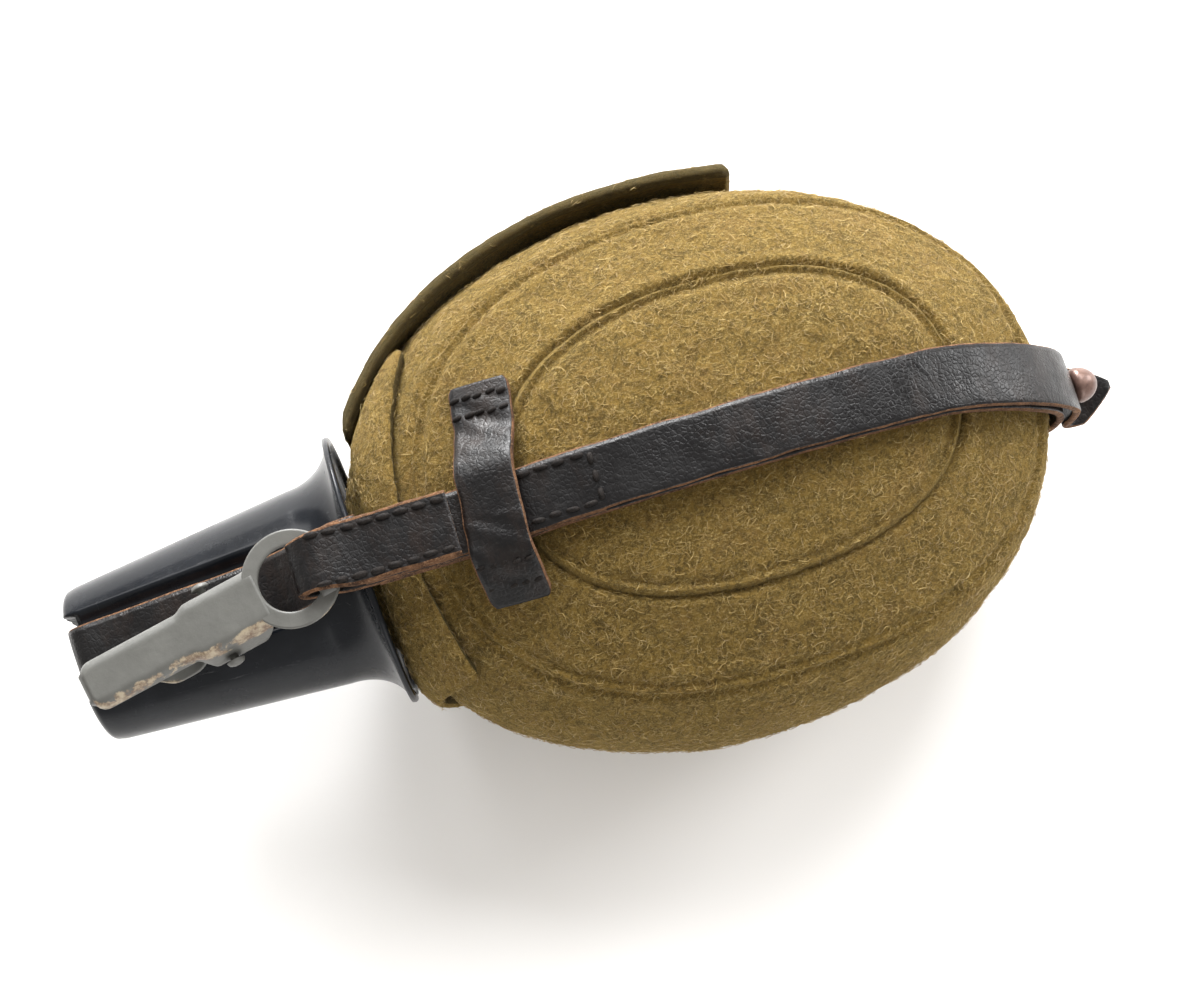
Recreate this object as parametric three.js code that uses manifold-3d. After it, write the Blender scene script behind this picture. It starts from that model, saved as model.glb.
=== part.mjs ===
// Field canteen with a felt cover, a drinking cup and a leather carrying harness.
// Units are millimetres. The canteen lies on its front, +Z up, with its long axis along X:
// the cup and the neck point to -X, the base to +X. All shapes are made around the centre
// of the body, and the whole group is then lifted so that it stands on z = 0.
import * as THREE from 'three';
import { mergeVertices } from 'three/addons/utils/BufferGeometryUtils.js';
import Module from 'manifold-3d';

const wasm = await Module();
wasm.setup();

// ---------------------------------------------------------------- driving dimensions
const fit = 0.35; // gap between pieces that touch

const body = { length: 181, width: 140, thickness: 86, planPower: 2.05, sidePower: 2.25, sectionPower: 2.2 };
const half = { length: body.length / 2, width: body.width / 2, thickness: body.thickness / 2 };
const felt = 3; // thickness of the cover
const flaskWall = 1.2;

const backSeam = { shiftX: 7.5, insetX: 13, insetY: 11.5, power: 2.28 };
const backOval = { insetX: 22.5, insetY: 21.8, power: 2.23 };
const frontSeam = { shiftX: 4, insetX: 13, insetY: 11.5, power: 2.28 };

const neck = { radius: body.thickness * 0.1337, wall: 1.5, reach: 13.5 };
const neckBore = neck.radius - neck.wall;
const thread = { height: 1.5, rings: 4, pitch: 2.2 };
const cap = { wall: 1.7, crown: 3.2, skirt: 12, grips: 18, gripDepth: 0.5 };
const gasket = 2;

const strap = { width: 15.8, thickness: 2.2 };
const strapLine = { cup: -0.8, back: -4.2, base: -8.5 }; // sideways places of the straps

// The rim of the cup is as wide as the body allows, so its radii follow the body's thickness.
const cup = {
  length: 74, rimRadius: body.thickness * 0.4105, waistRadius: body.thickness * 0.299,
  endRadius: body.thickness * 0.23, flareLength: 13, wall: 2.2,
};
const cupPlace = { gapToBody: -2.5, shiftY: -1, yaw: 2.5 };
const channel = { width: strap.width + 4.7, depth: strap.thickness + 2.4 };

const hookLoop = {
  innerHalfHeight: 2.9, nose: strap.thickness + strap.width * 0.247, topEnd: 33.6, bottomEnd: 69,
};
const backStrap = { tabReach: 13, tabTaper: 9 };
const keeper = {
  width: 15.5, thickness: 2.2, length: strap.width + 38.2, x: -half.length * 0.558, shiftY: 1.5, turn: -4,
};
const frontKeeper = { x: half.length * 0.5525, length: strap.width + 34.2 };

const stud = { z: 4, shank: 2.3, headRadius: 4.6, headLength: 6.5, footRadius: 4, footHeight: 0.8 };

const hook = {
  plate: 1.4, barX: -half.length - 6.1, yaw: 12.9, droop: 4,
  eyeRadius: strap.width / 2 + 4.8, eyeHole: strap.width / 2 + 0.6, barWidth: 4.4, eyeCentre: 7.1,
  wideHalf: 7.3, wideFrom: 12, wideTo: 32.5, narrowHalf: 6, length: 64.2,
  wideFlange: 8.2, narrowFlange: 3, nose: 12.3, splay: 12,
};
const gate = { pivot: 27.8, depth: 6.4, plateDepth: 9.6, plate: 1.2, pin: 1.3, thumbHalf: 6.8 };

const buckle = {
  width: strap.width + 9.2, length: 16, wire: 1.1, roller: 2.0, x: -half.length * 0.641, prong: 0.9,
};
const tailEnd = buckle.x + 24;

const flap = {
  standOff: 1.9, fromX: -half.length * 0.928, toX: half.length * 0.3315, top: 16, bottom: -16, studs: 3,
};
const pressStud = { capRadius: 6, capHeight: 2.2, postRadius: 2.2 };

const collar = { edgeInsetX: 15.5, reach: half.length * 0.663, hingeRoom: 6 };

// ---------------------------------------------------------------- colours
const finishes = {
  felt: [0x83702f, 0.97, 0],
  feltEdge: [0x4a3a1c, 0.97, 0],
  leather: [0x1f1d1e, 0.45, 0],
  bakelite: [0x23262b, 0.22, 0],
  paint: [0x84867f, 0.5, 0.2],
  aluminium: [0xb8bbbd, 0.4, 1],
  stud: [0x7d5f55, 0.4, 0.2],
  steel: [0x6c6d6b, 0.4, 1],
  rubber: [0x4c3428, 0.8, 0],
};

// ---------------------------------------------------------------- solids and booleans
function toSolid(geometry) {
  const bare = geometry.clone();
  bare.deleteAttribute('normal');
  bare.deleteAttribute('uv');
  const merged = mergeVertices(bare, 1e-4);
  return new wasm.Manifold(new wasm.Mesh({
    numProp: 3,
    vertProperties: new Float32Array(merged.attributes.position.array),
    triVerts: new Uint32Array(merged.index.array),
  }));
}

function toGeometry(solid) {
  const mesh = solid.getMesh();
  const geometry = new THREE.BufferGeometry();
  geometry.setAttribute('position', new THREE.BufferAttribute(new Float32Array(mesh.vertProperties), 3));
  geometry.setIndex(new THREE.BufferAttribute(new Uint32Array(mesh.triVerts), 1));
  geometry.computeVertexNormals();
  return geometry;
}

const canteen = new THREE.Group();

function addPiece(name, finish, shape, parent = canteen) {
  const [color, roughness, metalness] = finishes[finish];
  const material = new THREE.MeshStandardMaterial({ color, roughness, metalness });
  const mesh = new THREE.Mesh(toGeometry(shape), material);
  mesh.name = name;
  parent.add(mesh);
}

function boxSolid(from, to) {
  const size = to.map((value, i) => value - from[i]);
  const geometry = new THREE.BoxGeometry(...size);
  geometry.translate(...from.map((value, i) => value + size[i] / 2));
  return toSolid(geometry);
}

// A cylinder along an axis ('x', 'y' or 'z') from one coordinate to another.
function rod(axis, radius, from, to, across = [0, 0], sides = 24) {
  const geometry = new THREE.CylinderGeometry(radius, radius, to - from, sides);
  if (axis === 'x') geometry.rotateZ(-Math.PI / 2);
  if (axis === 'z') geometry.rotateX(Math.PI / 2);
  const middle = (from + to) / 2;
  const place = { x: [middle, ...across], y: [across[0], middle, across[1]], z: [...across, middle] };
  geometry.translate(...place[axis]);
  return toSolid(geometry);
}

// A solid of revolution around the X axis; points are [x, radius], starting and ending on the axis
// or closing on themselves.
function turned(points, sides = 36) {
  const profile = points.map(([x, radius]) => new THREE.Vector2(radius, x));
  const geometry = new THREE.LatheGeometry(profile, sides);
  geometry.rotateZ(-Math.PI / 2);
  const solid = toSolid(geometry);
  return solid.volume() < 0 ? toSolid(flipped(geometry)) : solid;
}

function flipped(geometry) {
  const copy = geometry.clone();
  const index = copy.index.array;
  for (let i = 0; i < index.length; i += 3) {
    [index[i], index[i + 1]] = [index[i + 1], index[i]];
  }
  return copy;
}

// ---------------------------------------------------------------- the body's form
function superArc(share, power) {
  return Math.max(0, 1 - Math.abs(share) ** power) ** (1 / power);
}

// Half-thickness of the body at x, on a skin that lies offset outside the felt.
function bodyHeight(x, offset = 0) {
  return (half.thickness + offset) * superArc(x / (half.length + offset), body.sidePower);
}

// Distance from the centre of a unit superellipse to its edge, towards (c, s).
function ovalRadius(c, s, power) {
  return (Math.abs(c) ** power + Math.abs(s) ** power) ** (-1 / power);
}

function bodyHalfWidth(x, offset = 0) {
  return (half.width + offset) * superArc(x / (half.length + offset), body.planPower);
}

// Height of the body's back over a point (x, y).
function backHeight(x, y, offset = 0) {
  return bodyHeight(x, offset) * superArc(y / bodyHalfWidth(x, offset), body.sectionPower);
}

function bodyGeometry(offset, stations = 18, sides = 32) {
  const reach = half.length + offset;
  const positions = [-reach, 0, 0];
  for (let i = 1; i < stations; i += 1) {
    const x = -reach * Math.cos((Math.PI * i) / stations);
    for (let j = 0; j < sides; j += 1) {
      const angle = (2 * Math.PI * j) / sides;
      const c = Math.cos(angle);
      const s = Math.sin(angle);
      const r = ovalRadius(c, s, body.sectionPower);
      positions.push(x, bodyHalfWidth(x, offset) * r * c, bodyHeight(x, offset) * r * s);
    }
  }
  positions.push(reach, 0, 0);
  const last = positions.length / 3 - 1;
  const index = [];
  for (let j = 0; j < sides; j += 1) {
    const next = (j + 1) % sides;
    index.push(0, 1 + next, 1 + j);
    index.push(last, last - sides + j, last - sides + next);
    for (let i = 0; i < stations - 2; i += 1) {
      const a = 1 + i * sides + j;
      const b = 1 + i * sides + next;
      index.push(a, b, a + sides, b, b + sides, a + sides);
    }
  }
  const geometry = new THREE.BufferGeometry();
  geometry.setAttribute('position', new THREE.Float32BufferAttribute(positions, 3));
  geometry.setIndex(index);
  return toSolid(geometry).volume() < 0 ? flipped(geometry) : geometry;
}

// An upright oval column, for cutting panels out of the cover.
function ovalColumn(centreX, halfX, halfY, power, from, to, points = 40) {
  const outline = [];
  for (let i = 0; i < points; i += 1) {
    const angle = (2 * Math.PI * i) / points;
    const c = Math.cos(angle);
    const s = Math.sin(angle);
    const r = ovalRadius(c, s, power);
    outline.push(new THREE.Vector2(centreX + halfX * r * c, halfY * r * s));
  }
  const settings = { depth: to - from, bevelEnabled: false };
  const geometry = new THREE.ExtrudeGeometry(new THREE.Shape(outline), settings);
  geometry.translate(0, 0, from);
  return toSolid(geometry);
}

// A side outline extruded across the canteen, centred on y = 0.
function acrossSolid(shape, width) {
  const geometry = new THREE.ExtrudeGeometry(shape, { depth: width, bevelEnabled: false });
  geometry.rotateX(Math.PI / 2);
  geometry.translate(0, width / 2, 0);
  return toSolid(geometry);
}

// ---------------------------------------------------------------- straps as extruded side profiles
// The straps wander a little sideways along the canteen.
function strapY(x) {
  const t = THREE.MathUtils.smoothstep(x, half.length * 0.6, half.length + strap.thickness * 4);
  return THREE.MathUtils.lerp(strapLine.back, strapLine.base, t);
}

function sidePoint(x, z) {
  return new THREE.Vector2(x, z);
}

// The outline of a strip that follows a path, half its thickness on each side.
function stripShape(path, thickness) {
  const upper = [];
  const lower = [];
  path.forEach((point, i) => {
    const before = path[Math.max(0, i - 1)];
    const after = path[Math.min(path.length - 1, i + 1)];
    const along = after.clone().sub(before).normalize();
    const across = new THREE.Vector2(-along.y, along.x).multiplyScalar(thickness / 2);
    upper.push(point.clone().add(across));
    lower.push(point.clone().sub(across));
  });
  return new THREE.Shape([...upper, ...lower.reverse()]);
}

// A strap that follows a side path; centreY gives its sideways place along X.
function ribbon(path, thickness, width, centreY = strapY) {
  const settings = { depth: width, bevelEnabled: false };
  const geometry = new THREE.ExtrudeGeometry(stripShape(path, thickness), settings);
  geometry.rotateX(Math.PI / 2);
  geometry.translate(0, width / 2, 0);
  const place = geometry.attributes.position;
  for (let i = 0; i < place.count; i += 1) {
    place.setY(i, place.getY(i) + centreY(place.getX(i)));
  }
  return toSolid(geometry);
}

function smoothPath(points, steps) {
  const knots = points.map(([x, z]) => new THREE.Vector3(x, z, 0));
  const curve = new THREE.CatmullRomCurve3(knots, false, 'centripetal');
  return curve.getSpacedPoints(steps).map((p) => new THREE.Vector2(p.x, p.y));
}

// The body's side profile, pushed out by offset, between two angles measured at the centre
// (0 at the base, 90 degrees on the back, -90 on the front).
function profilePath(offset, fromAngle, toAngle, steps) {
  const path = [];
  for (let i = 0; i <= steps; i += 1) {
    const angle = THREE.MathUtils.degToRad(fromAngle + ((toAngle - fromAngle) * i) / steps);
    const c = Math.cos(angle);
    const s = Math.sin(angle);
    const power = body.sidePower;
    const r = ovalRadius(c / half.length, s / half.thickness, power);
    const x = r * c;
    const z = r * s;
    const out = new THREE.Vector2(
      (Math.sign(x) * Math.abs(x / half.length) ** (power - 1)) / half.length,
      (Math.sign(z) * Math.abs(z / half.thickness) ** (power - 1)) / half.thickness,
    ).normalize();
    path.push(sidePoint(x + out.x * offset, z + out.y * offset));
  }
  return path;
}

// ---------------------------------------------------------------- flask, neck, cap
const flaskOffset = -felt - fit;
const mouthX = -half.length - neck.reach;

function makeFlask() {
  const outside = toSolid(bodyGeometry(flaskOffset));
  const inside = toSolid(bodyGeometry(flaskOffset - flaskWall, 14, 24));
  const neckStart = -half.length * 0.9;
  const tube = rod('x', neck.radius, mouthX, neckStart);
  const bore = rod('x', neckBore, mouthX - 1, -half.length * 0.8);
  addPiece('flask_body', 'aluminium', outside.add(tube).subtract(inside).subtract(bore));
}

const threadRadius = neck.radius + fit + 1.0;
const threadTop = threadRadius + thread.height / 2;

function makeNeckThread() {
  const from = mouthX + 0.8;
  const to = from + thread.rings * thread.pitch + 1;
  const points = [[to, neck.radius + fit], [to, threadRadius + 1.4], [to - 0.9, threadRadius + 1.4]];
  for (let i = thread.rings - 1; i >= 0; i -= 1) {
    const ringX = from + (i + 0.5) * thread.pitch;
    points.push([ringX + thread.pitch * 0.4, threadRadius]);
    points.push([ringX, threadTop]);
    points.push([ringX - thread.pitch * 0.4, threadRadius]);
  }
  points.push([from, threadRadius], [from, neck.radius + fit], points[0]);
  addPiece('neck_thread', 'aluminium', turned(points, 32));
}

const capBore = threadTop + fit;
const capRadius = capBore + cap.wall;
const capCeiling = mouthX - fit - gasket - fit;

function makeCap() {
  const outline = [];
  const teeth = cap.grips * 4;
  for (let i = 0; i < teeth; i += 1) {
    const angle = (2 * Math.PI * i) / teeth;
    const radius = capRadius - (i % 4 < 2 ? 0 : cap.gripDepth);
    outline.push(new THREE.Vector2(radius * Math.cos(angle), radius * Math.sin(angle)));
  }
  const length = cap.crown + cap.skirt;
  const blank = new THREE.ExtrudeGeometry(new THREE.Shape(outline), { depth: length, bevelEnabled: false });
  blank.rotateY(Math.PI / 2);
  blank.translate(capCeiling - cap.crown, 0, 0);
  const bore = rod('x', capBore, capCeiling, capCeiling + cap.skirt + 1, [0, 0], 32);
  addPiece('screw_cap', 'bakelite', toSolid(blank).subtract(bore));

  const seal = rod('x', capBore - fit, mouthX - fit - gasket, mouthX - fit, [0, 0], 32);
  addPiece('cap_gasket', 'rubber', seal.subtract(rod('x', neckBore * 0.6, mouthX - 9, mouthX + 1)));
}

// ---------------------------------------------------------------- felt cover
function panelColumn(seam, from, to, grow = 0) {
  const halfX = half.length - seam.insetX + grow;
  const halfY = half.width - seam.insetY + grow;
  return ovalColumn(seam.shiftX, halfX, halfY, seam.power, from, to);
}

const beyond = half.thickness + 30;
const ovalSeam = {
  shiftX: backSeam.shiftX,
  insetX: backSeam.insetX + backOval.insetX,
  insetY: backSeam.insetY + backOval.insetY,
  power: backOval.power,
};

function makeCover() {
  const skin = toSolid(bodyGeometry(0)).subtract(toSolid(bodyGeometry(-felt)));
  const neckHole = rod('x', neck.radius + 2, mouthX, -half.length * 0.5, [0, 0], 32);
  const cover = skin.subtract(neckHole);
  addPiece('back_oval_panel', 'felt', cover.intersect(panelColumn(ovalSeam, 0, beyond)));
  const ringColumn = panelColumn(backSeam, 0, beyond).subtract(panelColumn(ovalSeam, -1, beyond + 1, fit));
  addPiece('back_ring_panel', 'felt', cover.intersect(ringColumn));
  addPiece('front_panel', 'felt', cover.intersect(panelColumn(frontSeam, -beyond, 0)));
  const bandCut = panelColumn(backSeam, 0, beyond, fit).add(panelColumn(frontSeam, -beyond, 0, fit));
  addPiece('side_band', 'felt', cover.subtract(bandCut));
}

function makeCollar() {
  const skin = toSolid(bodyGeometry(fit + felt)).subtract(toSolid(bodyGeometry(fit)));
  const neckHole = rod('x', neck.radius + 5, mouthX - 9, -half.length * 0.5, [0, 0], 32);
  const edge = ovalColumn(0, half.length - collar.edgeInsetX, half.width * 1.25, 2, -beyond, beyond);
  const room = boxSolid([rimX + 3.3, -46, -beyond], [-collar.reach, 46, beyond]);
  const lowest = flap.bottom - collar.hingeRoom;
  const flapRoom = boxSolid([-half.length - 9, 15, lowest], [0, half.width, flap.top + 0.6]);
  const band = skin.subtract(neckHole).subtract(edge).intersect(room).subtract(flapRoom);
  addPiece('shoulder_collar', 'felt', band);
}

// ---------------------------------------------------------------- side flap and its press studs
const flapInner = flap.standOff;
const flapOuter = flap.standOff + felt;
const studHeights = flap.bottom / 2;

function flapStudPlaces() {
  const places = [];
  for (let i = 0; i < flap.studs; i += 1) {
    const x = flap.fromX + 20 + ((flap.toX - flap.fromX - 34) * i) / (flap.studs - 1);
    const y = bodyHalfWidth(x) * superArc(studHeights / bodyHeight(x), body.sectionPower);
    const slope = (bodyHalfWidth(x + 1) - bodyHalfWidth(x - 1)) / 2;
    const higher = bodyHalfWidth(x) * superArc((studHeights + 1) / bodyHeight(x), body.sectionPower);
    places.push({ x, y, turn: Math.atan(slope), tilt: Math.atan(y - higher) });
  }
  return places;
}

// A round piece whose axis points away from the far side of the body, starting at a distance from the felt.
function studPiece(points, place, distance) {
  const profile = points.map(([height, radius]) => new THREE.Vector2(radius, height));
  const geometry = new THREE.LatheGeometry(profile, 20);
  geometry.rotateX(place.tilt);
  geometry.rotateZ(place.turn);
  const level = distance * Math.cos(place.tilt);
  geometry.translate(
    place.x - level * Math.sin(place.turn),
    place.y + level * Math.cos(place.turn),
    studHeights + distance * Math.sin(place.tilt),
  );
  const solid = toSolid(geometry);
  return solid.volume() < 0 ? toSolid(flipped(geometry)) : solid;
}

function makeFlap() {
  const skin = toSolid(bodyGeometry(flapOuter)).subtract(toSolid(bodyGeometry(flapInner)));
  const room = boxSolid([flap.fromX, 20, flap.bottom], [flap.toX, half.width + 20, flap.top]);
  let sheet = skin.intersect(room);
  flapStudPlaces().forEach((place, i) => {
    const bore = studPiece([[-9, 0], [-9, 3.7], [9, 3.7], [9, 0]], place, flapInner + felt / 2);
    sheet = sheet.subtract(bore);
    const shank = pressStud.postRadius;
    const post = [[0, 0], [0, 3.1], [0.5, 3.1], [0.5, shank], [1.2, shank], [1.2, 0]];
    addPiece(`press_stud_post_${i + 1}`, 'steel', studPiece(post, place, fit));
    const r = pressStud.capRadius;
    const capHead = [[-felt * 0.7, 0], [-felt * 0.7, 2.5], [fit, 2.5], [fit, r], [fit + 0.8, r],
      [fit + 1.7, r * 0.7], [fit + pressStud.capHeight, 0]];
    addPiece(`press_stud_cap_${i + 1}`, 'steel', studPiece(capHead, place, flapOuter + fit));
  });
  addPiece('closing_flap', 'feltEdge', sheet);
}

// ---------------------------------------------------------------- cup
const cupGroup = new THREE.Group();
const rimX = -half.length - cupPlace.gapToBody;
cupGroup.position.set(rimX, cupPlace.shiftY, 0);
cupGroup.rotation.z = THREE.MathUtils.degToRad(cupPlace.yaw);
canteen.add(cupGroup);

// Outside radius of the cup at a distance from its closed end.
function cupRadius(distance) {
  const straight = cup.length - cup.flareLength;
  const taper = THREE.MathUtils.lerp(cup.endRadius, cup.waistRadius, Math.min(1, distance / straight));
  const s = Math.max(0, (distance - straight) / cup.flareLength);
  return taper + (cup.rimRadius - cup.waistRadius) * (1 - Math.sqrt(Math.max(0, 1 - s * s)));
}

function cupOutline(shrink, endShrink) {
  const points = [[-cup.length + endShrink, 0]];
  const corner = 2.5;
  points.push([-cup.length + endShrink, cupRadius(0) - shrink - corner]);
  points.push([-cup.length + endShrink + 0.8, cupRadius(0) - shrink - 0.8]);
  const straight = cup.length - cup.flareLength;
  for (let d = corner + endShrink; d < straight; d += 15) {
    points.push([d - cup.length, cupRadius(d) - shrink]);
  }
  for (let i = 0; i <= 7; i += 1) {
    const d = straight + cup.flareLength * Math.sin((i / 7) * (Math.PI / 2));
    points.push([d - cup.length, cupRadius(d) - shrink]);
  }
  return points;
}

// The groove that the harness lies in, along one side of the cup (side is 1 or -1).
function channelCut(side, deeper, wider) {
  const floor = (d) => cupRadius(d) - channel.depth - deeper;
  const fadeFrom = cup.length - cup.flareLength - 6;
  const fadeTo = -cup.flareLength * 0.55;
  const shape = new THREE.Shape([
    sidePoint(-cup.length - 9, floor(-9)), sidePoint(-cup.length + fadeFrom, floor(fadeFrom)),
    sidePoint(fadeTo, cup.waistRadius + 1.2 - deeper), sidePoint(fadeTo, cup.rimRadius + 9),
    sidePoint(-cup.length - 9, cup.rimRadius + 9),
  ]);
  const solid = acrossSolid(shape, channel.width + 2 * wider);
  return side > 0 ? solid : solid.scale([1, 1, -1]);
}

const endChannel = 3.4;

function makeCup() {
  const outside = turned([...cupOutline(0, 0), [1.2, cup.rimRadius - 0.3], [1.5, cup.rimRadius - 1.4],
    [0.6, cup.rimRadius - 2.2], [0.6, 0]]);
  const inside = turned([...cupOutline(cup.wall, cup.wall), [3, cup.rimRadius - cup.wall + 0.5], [3, 0]]);
  const halfWidth = channel.width / 2;
  const endFloor = -cup.length + endChannel;
  const tall = cup.rimRadius + 5;
  const start = -cup.length - 9;
  const endCut = boxSolid([start, -halfWidth, -tall], [endFloor, halfWidth, tall]);
  const wallReach = halfWidth + cup.wall;
  const endWall = boxSolid([start, -wallReach, -tall], [endFloor + cup.wall, wallReach, tall]);
  let shell = outside.subtract(endCut);
  let hollow = inside.subtract(endWall);
  for (const side of [1, -1]) {
    shell = shell.subtract(channelCut(side, 0, 0));
    hollow = hollow.subtract(channelCut(side, cup.wall, cup.wall));
  }
  addPiece('drinking_cup', 'bakelite', shell.subtract(hollow), cupGroup);
}

// ---------------------------------------------------------------- harness
const strapLift = fit + strap.thickness / 2; // middle of a strap that lies on the felt
const layer = strap.thickness + fit; // one strap on top of another
const rimStrapZ = cup.rimRadius + 0.4 + strapLift;
const splitX = rimX + 4; // the cup's part of the harness ends here
const flatEndX = findWhere(rimStrapZ);

// Where the strap over the rim meets the back of the body.
function findWhere(height) {
  let x = -half.length;
  while (bodyHeight(x) + strapLift < height) x += 0.5;
  return x;
}

function profileAngle(x) {
  return THREE.MathUtils.radToDeg(Math.atan2(bodyHeight(x), x));
}

// A side path that runs level from the rim and then round the body, pushed out by extra.
function backPath(extra, fromX, toX, steps) {
  const level = [];
  for (let x = fromX; x < flatEndX - 4; x += 5) level.push(sidePoint(x, rimStrapZ + extra));
  return [...level, ...profilePath(strapLift + extra, profileAngle(flatEndX), profileAngle(toX), steps)];
}

function makeCupStrap() {
  const lift = strapLift + 1.5 * fit;
  const floorZ = (d) => cupRadius(d) - channel.depth + lift;
  const endX = -cup.length + endChannel - lift;
  const fade = cup.length - cup.flareLength - 8;
  const upper = [
    [splitX - rimX - 3 * fit, rimStrapZ], [0.5, rimStrapZ], [-3, rimStrapZ - 0.6], [-8, rimStrapZ - 5],
    ...[fade, fade - 12, fade - 24, fade - 36, 9].map((d) => [d - cup.length, floorZ(d)]),
    [endX + 4, floorZ(4) + 0.5], [endX + 0.8, floorZ(1) + 0.1], [endX - 0.3, floorZ(1) - 4], [endX, 5],
  ];
  const lower = upper.map(([x, z]) => [x, -z]).reverse();
  const path = smoothPath([...upper, ...lower], 76);
  const band = ribbon(path, strap.thickness, strap.width, () => strapLine.cup);
  addPiece('cup_strap', 'leather', band, cupGroup);
}

const buckleZ = -(Math.max(rimStrapZ, bodyHeight(buckle.x) + strapLift) + 2.5);
const wrap = buckle.wire + 0.5 + strap.thickness / 2;

function makeHarness() {
  const back = backPath(0, splitX, half.length * 0.2, 16);
  const round = profilePath(strapLift, profileAngle(half.length * 0.2), -150, 54).slice(1);
  const beforeBuckle = round.filter((p) => p.y > 0 || p.x > buckle.x + 9);
  const turn = [];
  for (let i = 0; i <= 8; i += 1) {
    const angle = THREE.MathUtils.degToRad(90 + (180 * i) / 8);
    turn.push(sidePoint(buckle.x + wrap * Math.cos(angle), buckleZ + wrap * Math.sin(angle)));
  }
  const foldEnd = sidePoint(buckle.x + 8, buckleZ - wrap + 0.1);
  const path = [...back, ...beforeBuckle, ...turn, foldEnd];
  let harness = ribbon(path, strap.thickness, strap.width);
  harness = harness.subtract(slotAt(buckle.x - 6, buckle.x + 4.5));
  harness = harness.subtract(studBore(stud.shank + fit)).subtract(studFootRoom());
  addPiece('harness_strap', 'leather', harness);
}

// A slot for the prong, right through the front straps.
function slotAt(fromX, toX) {
  const y = strapLine.back;
  return boxSolid([fromX, y - 1.5, -beyond], [toX, y + 1.5, -20]);
}

function studBore(radius) {
  return rod('x', radius, half.length - 12, half.length + 30, [strapY(half.length + 5), stud.z]);
}

const studFootX = half.length + fit + 0.1; // inner face of the harness at the base

function studFootRoom() {
  const place = [strapY(half.length + 5), stud.z];
  return rod('x', stud.footRadius + fit, half.length - 12, studFootX + stud.footHeight + 0.2, place);
}

function makeTail() {
  const outer = (x) => -(bodyHeight(x) + strapLift + layer);
  const foldOutside = buckleZ - wrap - layer;
  const rollerX = buckle.x - buckle.length;
  const path = smoothPath([
    [splitX, -rimStrapZ], [rollerX - 2, -rimStrapZ + 1.4], [rollerX + 1, -rimStrapZ + 0.8],
    [buckle.x - 8, buckleZ - 1.5], [buckle.x - 3, foldOutside + 0.4], [buckle.x + 1, foldOutside],
    [buckle.x + 8, foldOutside - 0.1], [buckle.x + 15, outer(buckle.x + 15) - 0.4],
    [tailEnd, outer(tailEnd) - 0.2],
  ], 40);
  const tail = ribbon(path, strap.thickness, strap.width - 1);
  addPiece('harness_tail', 'leather', tail.subtract(slotAt(buckle.x - 12, buckle.x + 4.5)));
}

// Flat leather band wrapped round the straps on the front, close to the buckle.
function makeTailKeeper() {
  const x = buckle.x + 17;
  const inner = -(bodyHeight(x) + fit);
  const outer = inner - 2 * layer - strap.thickness * 0.1 - 1.0;
  const y = strapY(x);
  const wide = strap.width / 2 + 0.6;
  const ring = boxSolid([x - 3, y - wide - 1.2, outer - 1.2], [x + 3, y + wide + 1.2, inner + 0.2]);
  const hole = boxSolid([x - 4, y - wide, outer], [x + 4, y + wide, inner + 9]);
  addPiece('tail_keeper', 'leather', ring.subtract(hole).subtract(toSolid(bodyGeometry(fit))));
}

function makeBuckle() {
  const y = strapY(buckle.x);
  const reach = buckle.width / 2;
  const frontX = buckle.x - buckle.length;
  const ends = reach + buckle.wire;
  let frame = rod('y', buckle.wire, y - ends, y + ends, [buckle.x, buckleZ], 12);
  frame = frame.add(rod('y', buckle.wire, y - ends, y + ends, [frontX, buckleZ], 12));
  for (const side of [-1, 1]) {
    frame = frame.add(rod('x', buckle.wire, frontX - 1, buckle.x + 1, [y + side * reach, buckleZ], 12));
  }
  addPiece('buckle_frame', 'steel', frame);

  const tube = rod('y', buckle.roller, y - reach + 3.5, y + reach - 3.5, [frontX, buckleZ], 20);
  const tubeBore = rod('y', buckle.wire + 0.3, y - reach, y + reach, [frontX, buckleZ], 20);
  addPiece('buckle_roller', 'steel', tube.subtract(tubeBore));

  const eye = rod('y', buckle.wire + 1.2, y - 1, y + 1, [buckle.x, buckleZ], 16);
  const tipX = frontX - 1.5;
  const tipZ = buckleZ - buckle.roller - 0.3 - buckle.prong;
  const rodCurve = new THREE.LineCurve3(
    new THREE.Vector3(buckle.x - 1, y, buckleZ - 1.5),
    new THREE.Vector3(tipX, y, tipZ),
  );
  const section = new THREE.Shape().absarc(0, 0, buckle.prong, 0, 2 * Math.PI);
  const sweep = { steps: 1, curveSegments: 4, bevelEnabled: false, extrudePath: rodCurve };
  const prong = toSolid(new THREE.ExtrudeGeometry(section, sweep)).add(eye);
  const barBore = rod('y', buckle.wire + 0.25, y - 2, y + 2, [buckle.x, buckleZ], 16);
  addPiece('buckle_prong', 'steel', prong.subtract(barBore));
}

// ---------------------------------------------------------------- back straps
const hookBarZ = rimStrapZ + 2 * layer + 0.35;

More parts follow.
